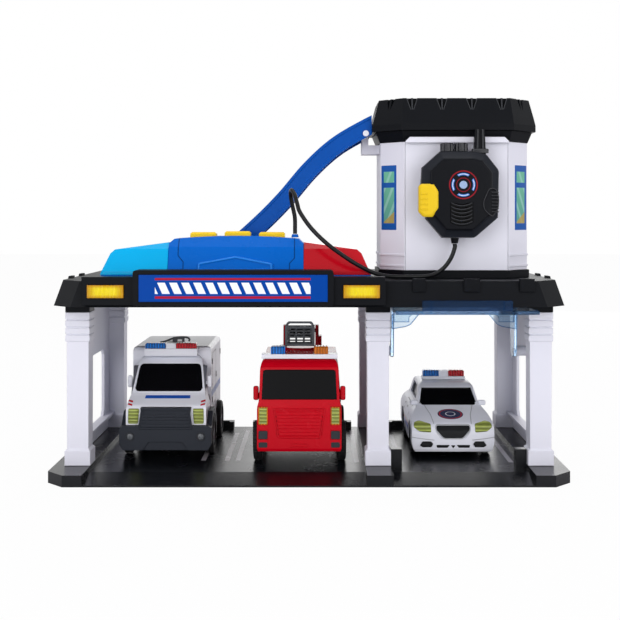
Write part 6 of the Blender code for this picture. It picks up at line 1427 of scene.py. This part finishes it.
# %% Tower head plate
head = [(0.0908, 0.3146), (0.1888, 0.3146), (0.1888, 0.316), (0.1846, 0.32), (0.095, 0.32), (0.0908, 0.316)]
head_rows = [(0, -0.0004), (0, 0.0004), (0.0003, 0.0006)]
piece("tower_head_plate", [plate(head, 0.0006, head_rows, "front", -0.0684)], "station", "wall")

# %% [markdown]
# The console's front shows a raised shape like a low gable. Its edge is a rounded rim in a lighter blue, a
# painted highlight, and because the front leans back, the rim is draped on the skin of the housing. The
# battery door at the back gets its screw and the thumb tab that every toy's battery door has.

# %% Console details
housing_depth = skin("console_housing", "front")[1]
console_front = "front", lambda across, up: housing_depth(0 * across - 0.025, up)
gable = [(-0.103, 0.1945), (-0.103, 0.202), (-0.068, 0.2082), (-0.034, 0.2016), (-0.034, 0.1945)]
trim("console_gable", "station", "console", [gable], console_front, radius=0.002, rings=10,
     rows=((0, -0.001), (0, 0.0009), (0.0005, 0.0014), (0.0016, 0.0017), (0.0021, 0.0016), (0.0027, 0.0012)))
# the rim is painted lighter blue as a highlight
trim("console_gable_edge", "station", "console_painted_highlight", rounded([gable], 0.0018, 0.0002, 3), console_front, rim,
     radius=0.0004, width=0.0016, height=0.0021)
battery_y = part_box("battery_door")[1].y
screw = [(0.0024, battery_y - 0.0004), (0.0024, battery_y + 0.0003), (0.0021, battery_y + 0.0006),
         (0.0009, battery_y + 0.0006), (0.0008, battery_y + 0.0001)]
piece("battery_door_screw", [spun(screw, (-0.094, 0, 0.2024), 1, 40)], "station", "screw")
door_edge = rim(box_corners(-0.101, -0.035, 0.1938, 0.211), battery_back, 0.0015, 0.0008, 0.0004)
trim("battery_door_tab", "station", "console",
     [box_corners(-0.052, -0.044, low, low + 0.001) for low in np.linspace(0.1985, 0.2053, 4)], battery_back,
     more=[door_edge], radius=0.0004, rings=2)

# %% [markdown]
# Door seams, stripes and lamps on the vehicles' sides follow their skins in the same way. A seam is a narrow
# line of painted shadow, a stripe is a film, and a lamp or handle is a thin part with a rounded edge. The
# photograph shows the sides only at a grazing angle and the backs not at all, so these follow what such toys
# usually have.

# %% Vehicle seams and stripes
def tiles(start, end, low, high, cells=12):
    """Upright rectangle cut into narrow ones, so that a long film follows a bent skin."""
    cuts = np.linspace(start, end, cells + 1)
    return [box_corners(left, right, low, high) for left, right in zip(cuts[:-1], cuts[1:])]


ambulance_sides, engine_sides, police_sides = (flanks(f"{car}_body") for car in vehicles)
cab_door = [(-0.015, 0.05), (0.0095, 0.05), (0.0095, 0.0945), (0.001, 0.0945), (-0.0135, 0.069)]
trim("ambulance_seams", "ambulance", "seam", [cab_door, box_corners(0.025, 0.06, 0.05, 0.104)],
     ambulance_sides, seam)
trim("ambulance_side_stripes", "ambulance", "film_blue", [box_corners(0.015, 0.1085, 0.06, 0.0665)],
     ambulance_sides, rows=film(), radius=0.0002, rings=6)
latches = [box_corners(y - 0.0012, y + 0.0012, z - 0.003, z + 0.003) for y, z in (
    (0.0235, 0.0955), (0.0235, 0.056), (0.0625, 0.077), (0.006, 0.0615), (0.108, 0.0955))]
trim("ambulance_latches", "ambulance", "trim", latches, ambulance_sides, radius=0.0006, rings=2)

front_door = [(0.0225, 0.02), (0.05, 0.02), (0.05, 0.05), (0.0255, 0.05), (0.0215, 0.042)]
rear_door = [(0.0508, 0.02), (0.061, 0.02), (0.0665, 0.04), (0.0755, 0.05), (0.0508, 0.05)]
trim("police_seams", "police_car", "seam", [front_door, rear_door], police_sides, seam)
for name, finish, low, high in (("side", "film_blue", 0.027, 0.0315), ("thin", "film_red", 0.0325, 0.0338)):
    trim(f"police_{name}_stripes", "police_car", finish, tiles(0.017, 0.065, low, high), police_sides,
         rows=film(), radius=0.00005, steps=1, rings=4)
door_handles = [box_corners(y, y + 0.0055, 0.045, 0.0465) for y in (0.0425, 0.0665)]
trim("police_handles", "police_car", "silver", door_handles, police_sides, radius=0.0007, rings=3)

# %% [markdown]
# A fire engine carries its tools behind roller shutters. Each shutter is a thin plate with narrow waves
# across it, which are cheap as bump and look right from every side, with painted shade in the troughs between
# them, inside a raised red frame.

# %% Fire engine sides
def shutter_metal(pitch=0.0022):
    """Satin silver with level slats: the bump is the size of a sine of the height, and painted shade darkens
    the troughs between slats.
    """
    recipe = moulded("roller shutter silver", (0.24, 0.25, 0.27), 0.36, 0.00001, 0.0005, 0.0003, 0.05, 0.4)
    wave = abs((recipe.axes()[2] * (math.pi / pitch)).math("SINE"))
    # painted shade: the troughs of the wave, between the slats, are coloured dark grey
    recipe.set("Base Color", recipe.mix(wave.over(0.25, 0.3), (0.06, 0.064, 0.07, 1), recipe.colour))
    return recipe.set("Normal", recipe.bump(wave, 0.0004, recipe.normal))


finishes["shutter"] = shutter_metal()
bays = [box_corners(-0.0105, 0.0265, 0.052, 0.09), box_corners(0.031, 0.0745, 0.052, 0.09)]
engine_door = [(-0.0545, 0.05), (-0.0195, 0.05), (-0.0195, 0.1005), (-0.05, 0.1005)]
trim("engine_shutters", "fire_engine", "shutter", bays, engine_sides, radius=0.0012, rings=4)
trim("engine_shutter_frames", "fire_engine", "vehicle_red", rounded(bays, 0.0018, -0.0014, 4), engine_sides,
     rim, radius=0.0003, width=0.0016, height=0.0009)
trim("engine_seams", "fire_engine", "red_seam", [engine_door], engine_sides, seam)
trim("engine_side_stripes", "fire_engine", "film_white", [box_corners(-0.012, 0.0785, 0.0945, 0.0968)],
     engine_sides, rows=film(), radius=0.0002, rings=4)
handles = []
for side in engine_sides:
    handles.append(draped(box_corners(-0.0265, -0.021, 0.0625, 0.0642), side, radius=0.0007, rings=3))
    for bay in bays:
        middle = sum(y for y, _ in bay) / 4
        handles.append(draped(box_corners(middle - 0.005, middle + 0.005, 0.053, 0.0543), side,
                              ((0, 0), (0, 0.001), (0.0003, 0.0013)), 0.0005, rings=2))
piece("engine_handles", handles, "fire_engine", "silver")

# %% [markdown]
# From behind, a rescue vehicle is its doors and its tail lamps. The ambulance has two doors with dark
# windows, hinges and a handle on each, red lamps beside them, and a bumper in the dark grey of its trim.

# %% Ambulance back
ambulance_back, engine_back, police_back = (skin(f"{car}_body", "back") for car in vehicles)


def twins(middle, *spans):
    """Upright rectangles measured from a vehicle's middle, each with its twin on the other side."""
    return [outline for span in spans for outline in pair(box_corners(*span), middle)]


trim("ambulance_rear_doors", "ambulance", "seam", twins(ambulance_x, (0.0005, 0.035, 0.026, 0.1045)),
     ambulance_back, seam, radius=0.002)
windows = twins(ambulance_x, (0.0055, 0.03, 0.073, 0.096))
trim("ambulance_rear_windows", "ambulance", "glass", rounded(windows, 0.0025, 0, 5), ambulance_back,
     rows=GLASS, radius=0.0001, rings=6)
trim("ambulance_rear_lamps", "ambulance", "lamp_red", twins(ambulance_x, (0.0358, 0.0388, 0.033, 0.052)),
     ambulance_back, rings=4, crown=0.0004)
hinges = [(0.0325, 0.0352, low, low + 0.0035) for low in (0.033, 0.062, 0.095)]
bumper = draped(trapezium(ambulance_x, 0.0175, 0.03, 0.0225, 0.03), ambulance_back, STEP, 0.0012, rings=3)
handle_and_hinges = twins(ambulance_x, (0.0015, 0.003, 0.054, 0.064), *hinges)
trim("ambulance_rear_fittings", "ambulance", "trim", handle_and_hinges, ambulance_back, more=[bumper],
     radius=0.0006, rings=2)

# %% [markdown]
# The fire engine's back is one wide shutter in a red frame, with a red and an amber lamp on each side and a
# step for the crew below it.

# %% Fire engine back
trim("engine_rear_shutter", "fire_engine", "shutter", [trapezium(engine_x, 0.042, 0.024, 0.088, 0.024)],
     engine_back, radius=0.0015, rings=4)
trim("engine_rear_frame", "fire_engine", "vehicle_red", [trapezium(engine_x, 0.0403, 0.0257, 0.0897, 0.0257)],
     engine_back, rim, radius=0.002, width=0.0018, height=0.0009)
for name, finish, low, high in (("lamps", "lamp_red", 0.05, 0.062), ("signals", "lamp_amber", 0.043, 0.049)):
    trim(f"engine_rear_{name}", "fire_engine", finish, twins(engine_x, (0.03, 0.035, low, high)), engine_back,
         rings=4, crown=0.0004)
trim("engine_rear_step", "fire_engine", "trim", [trapezium(engine_x, 0.027, 0.033, 0.033, 0.033)],
     engine_back, rows=STEP, radius=0.0012, rings=3)

# %% [markdown]
# The police car has a sloping rear window over its boot, wide lamps, the seam of the boot lid and a dark
# strip low in its bumper.

# %% Police car back
trim("police_rear_window", "police_car", "glass", [trapezium(police_x, 0.0535, 0.027, 0.0655, 0.0235)],
     police_back, rows=GLASS, radius=0.003, rings=12)
rear_lamp = [(0.0215, 0.0345), (0.036, 0.0355), (0.0375, 0.042), (0.0225, 0.041)]
trim("police_rear_lamps", "police_car", "lamp_red", pair(rear_lamp, police_x), police_back, radius=0.0012,
     rings=8, crown=0.0004)
trim("police_boot_seam", "police_car", "seam", [trapezium(police_x, 0.03, 0.02, 0.045, 0.02)], police_back,
     seam, radius=0.003)
trim("police_rear_bumper", "police_car", "mesh", [trapezium(police_x, 0.0165, 0.025, 0.0215, 0.025)],
     police_back, radius=0.0018, rings=3)

# %% [markdown]
# The garage door is one clear sheet, and where it hangs from its arms it has two corner plates that are
# easy to see against the white behind it. They belong to the door, so they ride on it and use its plastic.

# %% Door corner plates
door_middle, door_face_y = 0.1412, -0.0337
corner_plate = [(-0.0609, 0.15), (-0.0609, 0.1345), (-0.0472, 0.1368), (-0.0422, 0.139), (-0.0332, 0.15)]
plate_rows = [(0.0003, -0.0028), (0, -0.0025), (0, 0.0001), (0.0003, 0.0004)]
piece("door_corner_plates", [plate(outline, 0.0015, plate_rows, "front", door_face_y)
                             for outline in pair(corner_plate, door_middle)], "door", "door")

# %% [markdown]
# The roof's rim is cut by notches with a rib in each. Light catches their edges, which makes a row of small
# bright fans on the black plastic. Two slanted bars and a rib for each notch give them edges that are round
# enough to catch it, on all four long sides, and their lighter charcoal is a painted highlight.

# %% Roof notch edges
roof_low, roof_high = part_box("tower_roof")
roof_middle = (roof_low + roof_high) / 2
notch_pitch, notch_foot, notch_top = 0.0283, 0.3458, 0.3566


def notch_fan(middle):
    """Outlines of two slanted bars and a rib, wide at the top and close together at the foot."""
    def bar(foot, top, half):
        return [(middle + foot - half, notch_foot), (middle + foot + half, notch_foot),
                (middle + top + half, notch_top), (middle + top - half, notch_top)]
    return [bar(-0.0013, -0.005, 0.00045), bar(0.0013, 0.005, 0.00045), bar(0.0, 0.0, 0.0006)]


def rim_of(facing, clear_place):
    """Side of the roof's rim, with its depth read where there is no notch."""
    depth = skin("tower_roof", facing)[1]
    return facing, lambda across, up: depth(0 * across + clear_place, np.minimum(up, notch_top))


fans = []
for facing, centre, count in (("front", roof_middle.x, 4), ("back", roof_middle.x, 4),
                              ("left", roof_middle.y, 2), ("right", roof_middle.y, 2)):
    for step in range(count):
        for outline in notch_fan(centre + (step - (count - 1) / 2) * notch_pitch):
            fans.append(draped(outline, rim_of(facing, centre), ((0, -0.0008), (0, 0.0001), (0.0002, 0.0003)),
                               0.0002, rings=1))
# the notch bars are in lighter charcoal, a painted highlight
piece("roof_notch_edges", fans, "station", "edge")

# %% [markdown]
# The deck's border carries small blocks that stand a little above its edge. The front ones are solids
# already. The photograph shows two more on the side, where they appear as low bumps on the skyline of the
# deck. The side that it doesn't show gets the same two.

# %% Deck side blocks
deck_edge_z = 0.185


def border(facing):
    """Side of the deck's border: its slope below the edge, and upright above it."""
    depth = skin("deck", facing)[1]
    return facing, lambda across, up: depth(across, np.minimum(up, deck_edge_z))


blocks = [box_corners(y - 0.0066, y + 0.0066, 0.1752, 0.1881) for y in (-0.0536, -0.0094)]
trim("deck_side_blocks", "station", "charcoal", blocks, [border("left"), border("right")], radius=0.0012,
     rings=6, rows=((0, -0.0022), (0, 0.0006), (0.0005, 0.0011), (0.001, 0.0012)))

# %% [markdown]
# From above, the deck and the roof are wide black areas. Such parts are pressed with shallow lines that
# stiffen them, so the deck gets a border line and cross lines, and the roof two rings, all as grooves in the
# finish with painted shade at their bottom.

# %% Pressed lines
def pressed_deck():
    """Charcoal with a groove inside the border and three cross grooves, on level faces only, each with
    painted shade.
    """
    recipe = charcoal("deck charcoal")
    x, y, z = recipe.axes()
    low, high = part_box("deck")
    inset = (high.x - abs(x)).smaller(y - low.y).smaller(high.y - y)
    border_width, groove_width, cross_places = 0.0295, 0.0012, (-0.155, -0.06, 0.035)
    first, *others = (1 - abs(x - place).over(groove_width / 2) for place in cross_places)
    frame_line = inset.within(border_width, border_width + groove_width)
    lines = (frame_line + sum(others, first) * inset.over(0.03)).math("MINIMUM", 1.0)
    return recipe.groove(lines * z.over(deck_edge_z, 0.0005), 0.0006, 0.35)


def pressed_roof():
    """Charcoal with two ring grooves round the roof's middle and four short lines between them, each with
    painted shade.
    """
    recipe = charcoal("roof charcoal")
    x, y, z = recipe.axes()
    a, b = abs(x - roof_middle.x), abs(y - roof_middle.y)
    reach = (a * a + b * b).math("SQRT")
    spokes = reach.within(0.0307, 0.036) * (1 - abs(a - b).over(0.0008))
    lines = reach.within(0.036, 0.0372) + reach.within(0.03, 0.0307) + spokes
    return recipe.groove(lines.math("MINIMUM", 1.0) * z.over(0.34, 0.0005), 0.0006, 0.35)


dress("deck", pressed_deck())
dress("tower_roof", pressed_roof())
print("deck and roof have their pressed lines")

# %% [markdown]
# The police car's shell has two creases that run down its bonnet, and a line round its bumper. They are too
# shallow to change the outline, so they are grooves as well, with painted shade at their bottom.

# %% Police car creases
def creased_white():
    """Vehicle white with two creases down the bonnet and a line round the bumper, pressed in with painted
    shade.
    """
    recipe = vehicle_white("police car white")
    x, y, z = recipe.axes()
    away = abs(x - police_x)
    crease = recipe.near(away, y, [(0.0245, 0.012), (0.02, -0.006), (0.0185, -0.0235)], 0.0007)
    bonnet = crease * z.over(0.04, 0.0004) * (1 - y.over(0.012))
    bumper = (z - away * away * 2.2).within(0.024, 0.0246) * (1 - y.over(-0.018)) * away.over(0.0185)
    return recipe.groove(bonnet + bumper, 0.0005, 0.55)


dress("police_body", creased_white())
print("police car has its creases")

# %% [markdown]
